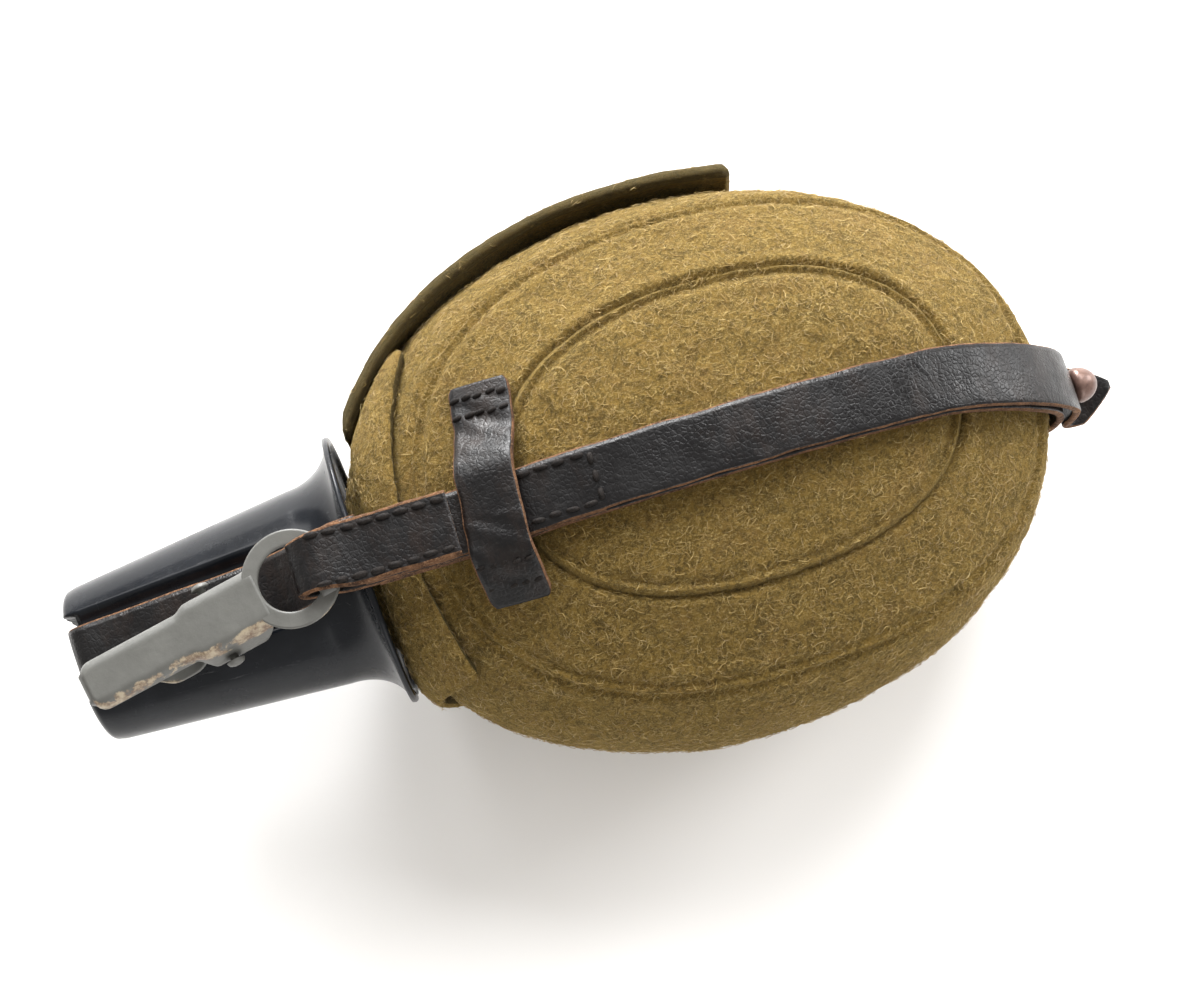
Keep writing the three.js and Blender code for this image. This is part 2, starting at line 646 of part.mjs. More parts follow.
function makeHookLoop() {
  const topZ = rimStrapZ + 3 * layer;
  const bulge = hookLoop.innerHalfHeight + strap.thickness / 2;
  const noseX = hook.barX - hookLoop.nose + strap.thickness / 2;
  const topEndX = hook.barX + hookLoop.topEnd;
  const bottomEndX = hook.barX + hookLoop.bottomEnd;
  const pinchX = hook.barX + 6;
  const nose = smoothPath([
    [topEndX, topZ], [pinchX + 12, topZ], [pinchX + 3, topZ + 0.2],
    [hook.barX + 1.5, hookBarZ + bulge], [hook.barX - 1.5, hookBarZ + bulge],
    [noseX + 0.9, hookBarZ + 2.2], [noseX, hookBarZ], [noseX + 0.9, hookBarZ - 2.2],
    [hook.barX - 1.5, hookBarZ - bulge], [hook.barX + 1.5, hookBarZ - bulge],
    [pinchX + 3, rimStrapZ + layer + 0.05],
  ], 56);
  const under = backPath(layer, pinchX + 10, bottomEndX, 14);
  const y = strapLine.back;
  const wide = strap.width / 2;
  // The loop narrows where it goes round the bar of the eye.
  const edge = [
    [noseX - 3, wide - 1.9], [hook.barX, wide - 0.9], [pinchX + 3, wide + 1], [bottomEndX + 9, wide + 1],
  ];
  const plan = new THREE.Shape([
    ...edge.map(([x, reach]) => sidePoint(x, y - reach)),
    ...edge.reverse().map(([x, reach]) => sidePoint(x, y + reach)),
  ]);
  const waist = new THREE.ExtrudeGeometry(plan, { depth: beyond, bevelEnabled: false });
  const loop = ribbon([...nose, ...under], strap.thickness, strap.width);
  addPiece('hook_loop', 'leather', loop.intersect(toSolid(waist)));
}

function makeBackStrap() {
  const startX = hook.barX + 10;
  const base = profileAngle(half.length * 0.7);
  const along = backPath(2 * layer, startX, half.length * 0.7, 30);
  const bow = (angle) => 2 * layer - 1.2 * (1 - angle / base);
  const round = [];
  for (let i = 1; i <= 14; i += 1) {
    const angle = base * (1 - i / 14);
    round.push(profilePath(strapLift + bow(angle), angle, angle, 1)[0]);
  }
  const last = round[round.length - 1];
  const tab = smoothPath([
    [last.x, last.y], [last.x - 0.6, last.y - 5], [last.x - 0.2, last.y - 8.6], [last.x + 2.4, last.y - 10.4],
    [last.x + 6, last.y - 9.6], [last.x + backStrap.tabReach + 2.6, last.y - 7],
  ], 18).slice(1);
  const strip = ribbon([...along, ...round, ...tab], strap.thickness, strap.width);
  const tipX = last.x + backStrap.tabReach;
  const tipY = strapY(tipX);
  const edge = [[-half.length * 2, strap.width * 2], [tipX - backStrap.tabTaper, strap.width * 0.52],
    [tipX - 1, 2.6], [tipX, 1.4]];
  const pointed = new THREE.Shape([
    ...edge.map(([x, reach]) => sidePoint(x, tipY - reach)),
    ...edge.reverse().map(([x, reach]) => sidePoint(x, tipY + reach)),
  ]);
  const column = new THREE.ExtrudeGeometry(pointed, { depth: 4 * beyond, bevelEnabled: false });
  column.translate(0, 0, -2 * beyond);
  addPiece('back_strap', 'leather', strip.intersect(toSolid(column)).subtract(studBore(stud.shank + fit)));
}

function makeStud() {
  const y = strapY(half.length + 5);
  const outerFace = half.length + strapLift + 2 * layer + strap.thickness / 2;
  const start = outerFace + fit;
  const points = [[studFootX, 0], [studFootX, stud.footRadius], [studFootX + stud.footHeight, stud.footRadius],
    [studFootX + stud.footHeight, stud.shank], [start, stud.shank], [start, stud.headRadius * 0.72],
    [start + 1.2, stud.headRadius]];
  for (let i = 1; i <= 5; i += 1) {
    const angle = (Math.PI / 2) * (i / 5);
    points.push([start + 1.2 + (stud.headLength - 1.2) * Math.sin(angle), stud.headRadius * Math.cos(angle)]);
  }
  const piece = turned(points, 24).translate([0, y, stud.z]);
  addPiece('base_stud', 'stud', piece);
}

// ---------------------------------------------------------------- keepers sewn on the felt
// A leather band across the straps: level over the straps, and down on the felt at both ends.
function keeperSolid(length, stack, x, sideways, turn, side) {
  const steps = 40;
  const path = [];
  const clear = strap.width / 2 + 3.2;
  const centre = strapY(x) - sideways;
  for (let i = 0; i <= steps; i += 1) {
    const across = -length / 2 + (length * i) / steps;
    const rest = backHeight(x, across + sideways) + fit + keeper.thickness / 2 + 0.5;
    const away = Math.max(0, Math.abs(across - centre) - clear);
    const raised = bodyHeight(x) + stack + fit + keeper.thickness / 2 - away * 0.9;
    path.push(sidePoint(across, Math.max(rest, raised)));
  }
  const slope = (bodyHeight(x + 4) - bodyHeight(x - 4)) / 8;
  const shape = stripShape(path, keeper.thickness);
  const geometry = new THREE.ExtrudeGeometry(shape, { depth: keeper.width, bevelEnabled: false });
  geometry.translate(0, 0, -keeper.width / 2);
  geometry.rotateX(Math.PI / 2);
  geometry.rotateZ(Math.PI / 2);
  geometry.translate(0, 0, -bodyHeight(x));
  geometry.rotateY(-Math.atan(slope));
  geometry.rotateZ(THREE.MathUtils.degToRad(turn));
  geometry.translate(x, sideways, bodyHeight(x));
  const solid = toSolid(geometry);
  return side > 0 ? solid : solid.scale([1, 1, -1]);
}

function makeKeepers() {
  const backStack = 3 * layer + 0.6;
  const band = keeperSolid(keeper.length, backStack, keeper.x, keeper.shiftY, keeper.turn, 1);
  addPiece('back_keeper', 'leather', band);
  const frontStack = layer + 0.6;
  addPiece('front_keeper', 'leather', keeperSolid(frontKeeper.length, frontStack, frontKeeper.x, 0, 0, -1));
}

// ---------------------------------------------------------------- snap hook
const hookGroup = new THREE.Group();
hookGroup.position.set(hook.barX, strapLine.back, hookBarZ);
hookGroup.rotation.set(0, THREE.MathUtils.degToRad(-hook.droop), THREE.MathUtils.degToRad(hook.yaw), 'ZYX');
canteen.add(hookGroup);

// In the hook's own frame the bar of the eye lies on the Y axis and the hook points to -X.
function hookPlate() {
  const centre = -hook.eyeCentre;
  const outline = new THREE.Shape();
  const barEdge = hook.barWidth / 2;
  outline.moveTo(barEdge, -hook.eyeRadius + 4);
  outline.lineTo(barEdge, hook.eyeRadius - 4);
  outline.quadraticCurveTo(barEdge - 0.5, hook.eyeRadius - 0.6, centre, hook.eyeRadius);
  const neckAngle = Math.asin(hook.wideHalf / hook.eyeRadius);
  outline.absarc(centre, 0, hook.eyeRadius, Math.PI / 2, Math.PI - neckAngle, false);
  outline.lineTo(-hook.wideTo, hook.wideHalf);
  outline.lineTo(-hook.wideTo - 1.6, hook.narrowHalf);
  outline.lineTo(-hook.length + 2, hook.narrowHalf);
  outline.lineTo(-hook.length, hook.narrowHalf - 2);
  outline.lineTo(-hook.length, -hook.narrowHalf + 2);
  outline.lineTo(-hook.length + 2, -hook.narrowHalf);
  outline.lineTo(-hook.wideTo - 1.6, -hook.narrowHalf);
  outline.lineTo(-hook.wideTo, -hook.wideHalf);
  outline.absarc(centre, 0, hook.eyeRadius, Math.PI + neckAngle, 1.5 * Math.PI, false);
  outline.quadraticCurveTo(barEdge - 0.5, -hook.eyeRadius + 0.6, barEdge, -hook.eyeRadius + 4);
  const hole = new THREE.Path();
  hole.moveTo(-barEdge, -hook.eyeHole);
  hole.lineTo(-barEdge, hook.eyeHole);
  hole.absarc(centre, 0, hook.eyeHole, Math.PI / 2, 1.5 * Math.PI, false);
  outline.holes.push(hole);
  const settings = { depth: hook.plate, bevelEnabled: false, curveSegments: 10 };
  const geometry = new THREE.ExtrudeGeometry(outline, settings);
  geometry.translate(0, 0, -hook.plate / 2);
  return toSolid(geometry);
}

function flangePiece(side, fromX, toX, halfWidth, depth) {
  const lean = Math.tan(THREE.MathUtils.degToRad(hook.splay)) * depth;
  const top = hook.plate / 2;
  const shape = new THREE.Shape([
    sidePoint(halfWidth - hook.plate, top - 0.2), sidePoint(halfWidth, top - 0.2),
    sidePoint(halfWidth + lean, top - depth), sidePoint(halfWidth + lean - hook.plate, top - depth),
  ]);
  const geometry = new THREE.ExtrudeGeometry(shape, { depth: toX - fromX, bevelEnabled: false });
  geometry.rotateX(Math.PI / 2);
  geometry.rotateZ(Math.PI / 2);
  geometry.translate(fromX, 0, 0);
  const solid = toSolid(geometry);
  return side > 0 ? solid : solid.scale([1, -1, 1]);
}

function makeHook() {
  let steel = hookPlate();
  for (const side of [1, -1]) {
    steel = steel.add(flangePiece(side, -hook.wideTo, -hook.wideFrom - 5, hook.wideHalf, hook.wideFlange));
    const fromX = -hook.length + 2;
    const narrow = flangePiece(side, fromX, -hook.wideTo + 0.5, hook.narrowHalf, hook.narrowFlange);
    steel = steel.add(narrow);
  }
  const inset = hook.narrowHalf - 1;
  const noseFrom = -hook.length;
  steel = steel.add(boxSolid([noseFrom, -inset, -hook.nose], [noseFrom + hook.plate, inset, 0]));
  const lip = boxSolid([noseFrom, -inset, -hook.nose], [noseFrom + 3.6, inset, -hook.nose + hook.plate]);
  steel = steel.add(lip);
  const pinRun = [-gate.pivot, -gate.depth];
  steel = steel.subtract(rod('y', gate.pin + 0.05, -20, 20, pinRun, 16));
  addPiece('snap_hook_body', 'paint', steel, hookGroup);

  const flangeAtPin = hook.wideHalf + Math.tan(THREE.MathUtils.degToRad(hook.splay)) * gate.depth;
  const headAt = flangeAtPin + 0.75;
  let pin = rod('y', gate.pin - 0.25, -headAt - 0.2, headAt + 0.2, pinRun, 16);
  for (const side of [1, -1]) {
    const from = side > 0 ? headAt : -headAt - 1.1;
    pin = pin.add(rod('y', gate.pin + 0.9, from, from + 1.1, pinRun, 16));
  }
  addPiece('gate_pin', 'steel', pin, hookGroup);
}

function makeGate() {
  const inner = hook.narrowHalf - hook.plate - 0.4;
  const endX = -hook.length + hook.plate + 0.6;
  const backX = -gate.pivot + 3.4;
  const shape = new THREE.Shape();
  shape.moveTo(backX, -inner);
  shape.lineTo(backX, inner);
  shape.lineTo(-gate.pivot - 4, inner);
  shape.quadraticCurveTo(-gate.pivot - 6, gate.thumbHalf, -gate.pivot - 12, gate.thumbHalf);
  shape.quadraticCurveTo(-gate.pivot - 18, gate.thumbHalf, -gate.pivot - 21, inner);
  shape.lineTo(endX, inner - 0.6);
  shape.lineTo(endX, -inner + 0.6);
  shape.lineTo(-gate.pivot - 21, -inner);
  shape.quadraticCurveTo(-gate.pivot - 18, -gate.thumbHalf, -gate.pivot - 12, -gate.thumbHalf);
  shape.quadraticCurveTo(-gate.pivot - 6, -gate.thumbHalf, -gate.pivot - 4, -inner);
  const settings = { depth: gate.plate, bevelEnabled: false, curveSegments: 6 };
  const geometry = new THREE.ExtrudeGeometry(shape, settings);
  geometry.translate(0, 0, -gate.plateDepth);
  let lever = toSolid(geometry);
  for (const side of [1, -1]) {
    const from = side > 0 ? inner - 1.2 : -inner;
    const ear = boxSolid([-gate.pivot - 3.4, from, -gate.plateDepth], [backX, from + 1.2, -gate.depth + 2.4]);
    lever = lever.add(ear);
  }
  const hole = rod('y', gate.pin, -20, 20, [-gate.pivot, -gate.depth], 16);
  addPiece('snap_gate', 'paint', lever.subtract(hole), hookGroup);

  const turns = 4;
  const coil = new THREE.CatmullRomCurve3(Array.from({ length: turns * 12 + 1 }, (unused, i) => {
    const angle = (2 * Math.PI * i) / 12;
    const radius = gate.pin + 0.25;
    return new THREE.Vector3(-gate.pivot + radius * Math.cos(angle), -2 + (4 * i) / (turns * 12),
      -gate.depth + radius * Math.sin(angle));
  }));
  const wire = new THREE.Shape().absarc(0, 0, 0.3, 0, 2 * Math.PI);
  const sweep = { steps: turns * 12, curveSegments: 3, bevelEnabled: false, extrudePath: coil };
  addPiece('gate_spring', 'steel', toSolid(new THREE.ExtrudeGeometry(wire, sweep)), hookGroup);
}

// ---------------------------------------------------------------- assembly
makeFlask();
makeNeckThread();
makeCap();
makeCover();
makeCollar();
makeFlap();
makeCup();
makeCupStrap();
makeHarness();
makeTail();
makeTailKeeper();
makeBuckle();
makeHookLoop();
makeBackStrap();
makeStud();
makeKeepers();
makeHook();
makeGate();

// The origin is the middle of the underside of the whole canteen.
canteen.updateMatrixWorld(true);
const bounds = new THREE.Box3().setFromObject(canteen, true);
canteen.position.set(-(bounds.min.x + bounds.max.x) / 2, -(bounds.min.y + bounds.max.y) / 2, -bounds.min.z);

export default canteen;
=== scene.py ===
import math
import random
import bpy
import numpy as np
from mathutils import Matrix, Vector, noise


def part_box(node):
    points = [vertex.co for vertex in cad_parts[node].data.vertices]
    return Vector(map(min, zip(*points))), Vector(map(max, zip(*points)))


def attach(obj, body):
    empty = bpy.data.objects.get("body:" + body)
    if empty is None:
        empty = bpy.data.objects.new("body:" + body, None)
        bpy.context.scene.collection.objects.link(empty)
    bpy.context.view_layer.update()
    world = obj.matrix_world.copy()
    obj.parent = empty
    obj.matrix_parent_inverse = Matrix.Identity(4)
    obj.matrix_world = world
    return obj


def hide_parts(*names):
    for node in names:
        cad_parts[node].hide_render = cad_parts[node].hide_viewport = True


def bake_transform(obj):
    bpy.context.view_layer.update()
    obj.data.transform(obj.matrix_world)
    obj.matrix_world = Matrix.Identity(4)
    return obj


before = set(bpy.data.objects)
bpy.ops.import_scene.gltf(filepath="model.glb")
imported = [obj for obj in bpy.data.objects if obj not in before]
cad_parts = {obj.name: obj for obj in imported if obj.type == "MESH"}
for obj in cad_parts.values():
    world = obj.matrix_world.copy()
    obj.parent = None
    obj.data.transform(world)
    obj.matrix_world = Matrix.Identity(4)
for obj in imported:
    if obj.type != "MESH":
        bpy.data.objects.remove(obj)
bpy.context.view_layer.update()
mm = 0.001

# The canteen's own sizes in millimetres, measured from the centre of the body
body = {"halfLength": 90.5, "halfWidth": 70.0, "halfThickness": 43.0,
        "planPower": 2.05, "sidePower": 2.25, "sectionPower": 2.2}
strap = {"width": 15.8, "thickness": 2.2, "gap": 0.35, "corner": 0.75, "crown": 0.12}
lift = strap["gap"] + strap["thickness"] / 2   # middle of a strap lying on the felt
layer = strap["thickness"] + strap["gap"]      # one strap on top of another
rimX = -88.0
rimStrapZ = 35.3 + 0.4 + lift
barX = -96.6
barZ = rimStrapZ + 2 * layer + 0.35

flaskLow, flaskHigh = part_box("flask_body")
flaskEnd = 87.15   # the flask's base, from the middle of the body
shift = np.array([flaskHigh.x - flaskEnd * mm, (flaskLow.y + flaskHigh.y) / 2, (flaskLow.z + flaskHigh.z) / 2])


def toRow(points):
    return np.asarray(points, float) * mm + shift


def arc(share, power):
    return np.maximum(0.0, 1.0 - np.abs(share) ** power) ** (1.0 / power)


def heightAt(x, offset=0.0):
    return (body["halfThickness"] + offset) * arc(x / (body["halfLength"] + offset), body["sidePower"])


def halfWidthAt(x, offset=0.0):
    return (body["halfWidth"] + offset) * arc(x / (body["halfLength"] + offset), body["planPower"])


def backZ(x, y, offset=0.0):
    wide = np.maximum(halfWidthAt(x, offset), 1e-6)
    return heightAt(x, offset) * arc(np.minimum(1.0, np.abs(y) / wide), body["sectionPower"])


def smoothStep(x, a, b):
    t = np.clip((x - a) / (b - a), 0.0, 1.0)
    return t * t * (3 - 2 * t)


def strapY(x):
    return -4.2 - 4.3 * smoothStep(np.asarray(x, float), 54.3, 99.3)


def noiseAt(points, size, seed=0.0):
    s = 1.0 / size
    return np.array([noise.noise(Vector((p[0] * s + seed, p[1] * s - seed, p[2] * s + 2 * seed)))
                     for p in points.reshape(-1, 3)]).reshape(points.shape[:-1])


# Meshes

def addMesh(name, verts, faces, materials, faceMaterial=None):
    mesh = bpy.data.meshes.new(name)
    mesh.from_pydata(toRow(verts).tolist(), [], faces)
    for material in materials:
        mesh.materials.append(material)
    if faceMaterial is not None:
        mesh.polygons.foreach_set("material_index", np.asarray(faceMaterial, np.int32))
    mesh.polygons.foreach_set("use_smooth", np.ones(len(mesh.polygons), bool))
    mesh.update()
    piece = bpy.data.objects.new(name, mesh)
    bpy.context.scene.collection.objects.link(piece)
    return piece


# Faces of a grid of points whose rows are closed rings
def gridFaces(rows, columns, start=0):
    faces = []
    for i in range(rows - 1):
        for j in range(columns):
            k = (j + 1) % columns
            a = start + i * columns
            faces.append((a + j, a + k, a + columns + k, a + columns + j))
    return faces


def gridNormals(points):
    along = np.gradient(points, axis=0)
    wrapped = np.concatenate([points[:, -2:-1], points, points[:, 1:2]], axis=1)
    around = (wrapped[:, 2:] - wrapped[:, :-2]) / 2
    normal = np.cross(around, along)
    length = np.linalg.norm(normal, axis=2, keepdims=True)
    return normal / np.maximum(length, 1e-9)


# A closed tube of loops (rows x columns x 3) with flat ends
def loftPiece(name, loops, materials, columnMaterial=None, closedAlong=False):
    rows, columns = loops.shape[:2]
    faces = gridFaces(rows, columns)
    if closedAlong:
        for j in range(columns):
            k = (j + 1) % columns
            a = (rows - 1) * columns
            faces.append((a + j, a + k, k, j))
    slots = None
    if columnMaterial is not None:
        slots = [columnMaterial[j] for i in range(len(faces) // columns) for j in range(columns)]
    if not closedAlong:
        faces.append(tuple(reversed(range(columns))))
        faces.append(tuple(range((rows - 1) * columns, rows * columns)))
        if slots is not None:
            slots += [max(columnMaterial)] * 2
    return addMesh(name, loops.reshape(-1, 3), faces, materials, slots)


# Points round a flat section, from the lower left and turning by the lower right corner,
# and 1 for each point that lies on a cut edge
def flatSection(halfWidth, halfThick, radius, steps=14, corner=4, crown=0.0):
    points = []
    edge = []
    across = np.linspace(-halfWidth + radius, halfWidth - radius, steps)
    corners = [(halfWidth - radius, -halfThick + radius, -90), (halfWidth - radius, halfThick - radius, 0),
               (-halfWidth + radius, halfThick - radius, 90), (-halfWidth + radius, -halfThick + radius, 180)]
    for side, (cx, cy, first) in enumerate(corners):
        if side == 0:
            for a in across[:-1]:
                points.append((a, -halfThick))
                edge.append(0)
        if side == 2:
            for a in across[::-1][:-1]:
                points.append((a, halfThick + crown * (1 - (a / halfWidth) ** 2)))
                edge.append(0)
        for i in range(corner + 1):
            angle = math.radians(first + 90 * i / corner)
            points.append((cx + radius * math.cos(angle), cy + radius * math.sin(angle)))
            edge.append(1 if math.sin(angle) < 0.75 else 0)
    return np.array(points), edge


def resample(points, spacing):
    points = np.asarray(points, float)
    seg = np.linalg.norm(np.diff(points, axis=0), axis=1)
    total = np.concatenate([[0], np.cumsum(seg)])
    count = max(4, int(round(total[-1] / spacing)) + 1)
    at = np.linspace(0, total[-1], count)
    return np.stack([np.interp(at, total, points[:, k]) for k in range(points.shape[1])], axis=1)


def relax(points, rounds):
    points = points.copy()
    for _ in range(rounds):
        points[1:-1] = 0.25 * points[:-2] + 0.5 * points[1:-1] + 0.25 * points[2:]
    return points


def catmull(points, perSpan=12):
    p = np.asarray(points, float)
    p = np.vstack([2 * p[0] - p[1], p, 2 * p[-1] - p[-2]])
    out = []
    for i in range(1, len(p) - 2):
        a, b, c, d = p[i - 1], p[i], p[i + 1], p[i + 2]
        for k in range(perSpan):
            t = k / perSpan
            out.append(0.5 * (2 * b + (c - a) * t + (2 * a - 5 * b + 4 * c - d) * t * t
                              + (3 * b - a - 3 * c + d) * t ** 3))
    out.append(p[-2])
    return np.array(out)


# A leather strap along a side path of (x, z), with rounded cut edges that wander a little
def strapPiece(name, path, materials, centre=None, width=strap["width"], spacing=1.2, wander=0.22,
               widthAt=None, soften=6, seed=1.0):
    side = relax(resample(path, spacing), soften)
    y = strapY(side[:, 0]) if centre is None else centre(side[:, 0])
    line = np.stack([side[:, 0], y, side[:, 1]], axis=1)
    return sweepFlat(name, line, np.array([0.0, 1.0, 0.0]), width, materials, wander, widthAt, seed)


def sweepFlat(name, line, acrossHint, width, materials, wander=0.22, widthAt=None, seed=1.0):
    tangent = np.gradient(line, axis=0)
    tangent /= np.linalg.norm(tangent, axis=1, keepdims=True)
    hint = np.broadcast_to(acrossHint, line.shape)
    across = hint - (hint * tangent).sum(1, keepdims=True) * tangent
    across /= np.linalg.norm(across, axis=1, keepdims=True)
    normal = np.cross(tangent, across)
    section, edge = flatSection(width / 2, strap["thickness"] / 2, strap["corner"], 18, 4, strap["crown"])
    loops = np.zeros((len(line), len(section), 3))
    for i in range(len(line)):
        share = 1.0 if widthAt is None else widthAt(line[i], i / (len(line) - 1))
        a = section[:, 0] * share
        loops[i] = line[i] + across[i] * a[:, None] + normal[i] * section[:, 1][:, None]
    rough = noiseAt(loops, 9.0, seed) * wander + noiseAt(loops, 2.6, seed + 5) * wander * 0.4
    side = np.array(section[:, 0] / (width / 2))
    loops += across[:, None, :] * (rough * np.abs(side) ** 3 * np.sign(side))[:, :, None]
    swell = noiseAt(loops, 14.0, seed + 9) * 0.16 + noiseAt(loops, 4.0, seed + 3) * 0.05
    loops += normal[:, None, :] * (swell * np.where(section[:, 1] > 0, 1.0, 0.2))[:, :, None]
    return loftPiece(name, loops, materials, edge)


def turnedPiece(name, outline, materials, sides, place):
    outline = np.asarray(outline, float)
    angle = np.linspace(0, 2 * np.pi, sides, endpoint=False)
    loops = np.zeros((len(outline), sides, 3))
    loops[:, :, 0] = outline[:, 0:1]
    loops[:, :, 1] = outline[:, 1:2] * np.cos(angle)
    loops[:, :, 2] = outline[:, 1:2] * np.sin(angle)
    return loftPiece(name, loops + np.array(place), materials)


# Materials

class Nodes:
    def __init__(self, name):
        self.material = bpy.data.materials.new(name)
        self.material.use_nodes = True
        self.tree = self.material.node_tree
        self.shader = self.tree.nodes["Principled BSDF"]
        self.place = self.add("ShaderNodeTexCoord").outputs["Object"]

    def add(self, kind, **values):
        node = self.tree.nodes.new(kind)
        for key, value in values.items():
            if hasattr(node, key):
                setattr(node, key, value)
            else:
                node.inputs[key].default_value = value
        return node

    def link(self, a, b):
        self.tree.links.new(a, b)
        return self

    def noise(self, scale, detail=4.0, rough=0.5, stretch=(1, 1, 1), distortion=0.0):
        mapping = self.add("ShaderNodeMapping")
        mapping.inputs["Scale"].default_value = stretch
        self.link(self.place, mapping.inputs["Vector"])
        node = self.add("ShaderNodeTexNoise", Scale=scale, Detail=detail, Roughness=rough,
                        Distortion=distortion)
        self.link(mapping.outputs[0], node.inputs["Vector"])
        return node.outputs["Fac"]

    def cells(self, scale, feature="DISTANCE_TO_EDGE", stretch=(1, 1, 1)):
        mapping = self.add("ShaderNodeMapping")
        mapping.inputs["Scale"].default_value = stretch
        self.link(self.place, mapping.inputs["Vector"])
        node = self.add("ShaderNodeTexVoronoi", feature=feature, Scale=scale)
        self.link(mapping.outputs[0], node.inputs["Vector"])
        return node.outputs["Distance"]

    def ramp(self, source, low, high, a=0.0, b=1.0):
        node = self.add("ShaderNodeMapRange", clamp=True)
        node.inputs["From Min"].default_value = low
        node.inputs["From Max"].default_value = high
        node.inputs["To Min"].default_value = a
        node.inputs["To Max"].default_value = b
        self.link(source, node.inputs["Value"])
        return node.outputs["Result"]

    def mix(self, factor, a, b):
        node = self.add("ShaderNodeMix", data_type="RGBA")
        for socket, value in ((node.inputs[6], a), (node.inputs[7], b)):
            if isinstance(value, tuple):
                socket.default_value = (*value, 1)
            else:
                self.link(value, socket)
        self.link(factor, node.inputs[0])
        return node.outputs[2]

    def times(self, a, b, operation="MULTIPLY"):
        node = self.add("ShaderNodeMath", operation=operation)
        for socket, value in ((node.inputs[0], a), (node.inputs[1], b)):
            if isinstance(value, (int, float)):
                socket.default_value = value
            else:
                self.link(value, socket)
        return node.outputs[0]

    def bump(self, heights):
        previous = None
        for height, strength, distance in heights:
            node = self.add("ShaderNodeBump", Strength=strength, Distance=distance)
            self.link(height, node.inputs["Height"])
            if previous is not None:
                self.link(previous, node.inputs["Normal"])
            previous = node.outputs["Normal"]
        self.link(previous, self.shader.inputs["Normal"])

    def finish(self, color=None, roughness=None, **fixed):
        if color is not None:
            if isinstance(color, tuple):
                self.shader.inputs["Base Color"].default_value = (*color, 1)
            else:
                self.link(color, self.shader.inputs["Base Color"])
        if roughness is not None:
            if isinstance(roughness, (int, float)):
                self.shader.inputs["Roughness"].default_value = roughness
            else:
                self.link(roughness, self.shader.inputs["Roughness"])
        for key, value in fixed.items():
            self.shader.inputs[key.replace("_", " ")].default_value = value
        return self.material


feltLook = {"mid": (0.285, 0.176, 0.038), "light": (0.62, 0.46, 0.18), "dark": (0.062, 0.038, 0.009),
            "red": (0.25, 0.135, 0.045), "sheen": 0.24}


# shade scales every felt tone; the lighter and darker copies made with it below are painted light and painted
# shade.
def feltMaterial(name, shade=1.0):
    m = Nodes(name)
    tone = {key: tuple(c * shade for c in value) for key, value in feltLook.items() if key != "sheen"}
    clumps = m.ramp(m.noise(210, 6, 0.75, (1, 1, 1), 2.2), 0.42, 0.56)
    fibres = m.ramp(m.noise(520, 8, 0.85, (1, 0.7, 0.8), 3.5), 0.45, 0.56)
    specks = m.ramp(m.noise(900, 6, 0.8, (0.5, 1, 1), 3.0), 0.52, 0.62)
    color = m.mix(m.times(clumps, 0.85), tone["dark"], tone["mid"])
    color = m.mix(m.times(fibres, 0.62), color, tone["mid"])
    color = m.mix(m.times(m.ramp(m.noise(90, 6, 0.7), 0.5, 0.7), 0.35), color, tone["red"])
    color = m.mix(m.times(specks, 0.85), color, tone["light"])
    color = m.mix(m.times(m.ramp(m.noise(420, 7, 0.8, (1, 1, 1), 3.5), 0.52, 0.6), 0.92), color, tone["dark"])
    m.bump([(m.noise(330, 6, 0.75, (1, 1, 1), 2.0), 1.0, 0.0016),
            (m.noise(950, 8, 0.85, (1, 0.6, 1), 2.0), 1.0, 0.0009)])
    return m.finish(color, 0.97, Sheen_Weight=feltLook["sheen"], Sheen_Roughness=0.6,
                    Sheen_Tint=(0.95, 0.78, 0.38, 1), Specular_IOR_Level=0.1)


leatherLook = {"base": (0.0050, 0.0046, 0.0050), "worn": (0.030, 0.018, 0.013), "grey": (0.04, 0.038, 0.037)}


def leatherMaterial(name, gloss=0.42, wear=0.35):
    m = Nodes(name)
    grain = m.cells(820)
    pores = m.ramp(grain, 0.0, 0.22)
    rub = m.ramp(m.noise(75, 7, 0.75, (1, 0.5, 1)), 0.48, 0.66)
    scuff = m.ramp(m.noise(420, 8, 0.75, (0.25, 1, 1)), 0.56, 0.7)
    color = m.mix(m.times(rub, wear), leatherLook["base"], leatherLook["worn"])
    color = m.mix(m.times(scuff, wear), color, leatherLook["grey"])
    rough = m.ramp(m.noise(120, 6, 0.65), 0.3, 0.7, gloss - 0.1, gloss + 0.2)
    m.bump([(pores, 0.3, 0.00016), (m.noise(230, 7, 0.6, (1, 0.5, 1), 1.0), 0.5, 0.0006),
            (m.noise(1500, 5, 0.7), 0.2, 0.0001)])
    return m.finish(color, rough, Specular_IOR_Level=0.24)


def rawEdgeMaterial(name):
    m = Nodes(name)
    color = m.mix(m.ramp(m.noise(300, 6, 0.7), 0.36, 0.62), (0.030, 0.015, 0.009), (0.16, 0.078, 0.038))
    color = m.mix(m.ramp(m.noise(2000, 6, 0.75), 0.5, 0.7), color, (0.30, 0.17, 0.095))
    m.bump([(m.noise(1400, 8, 0.8), 0.9, 0.0005)])
    return m.finish(color, 0.92, Specular_IOR_Level=0.2)


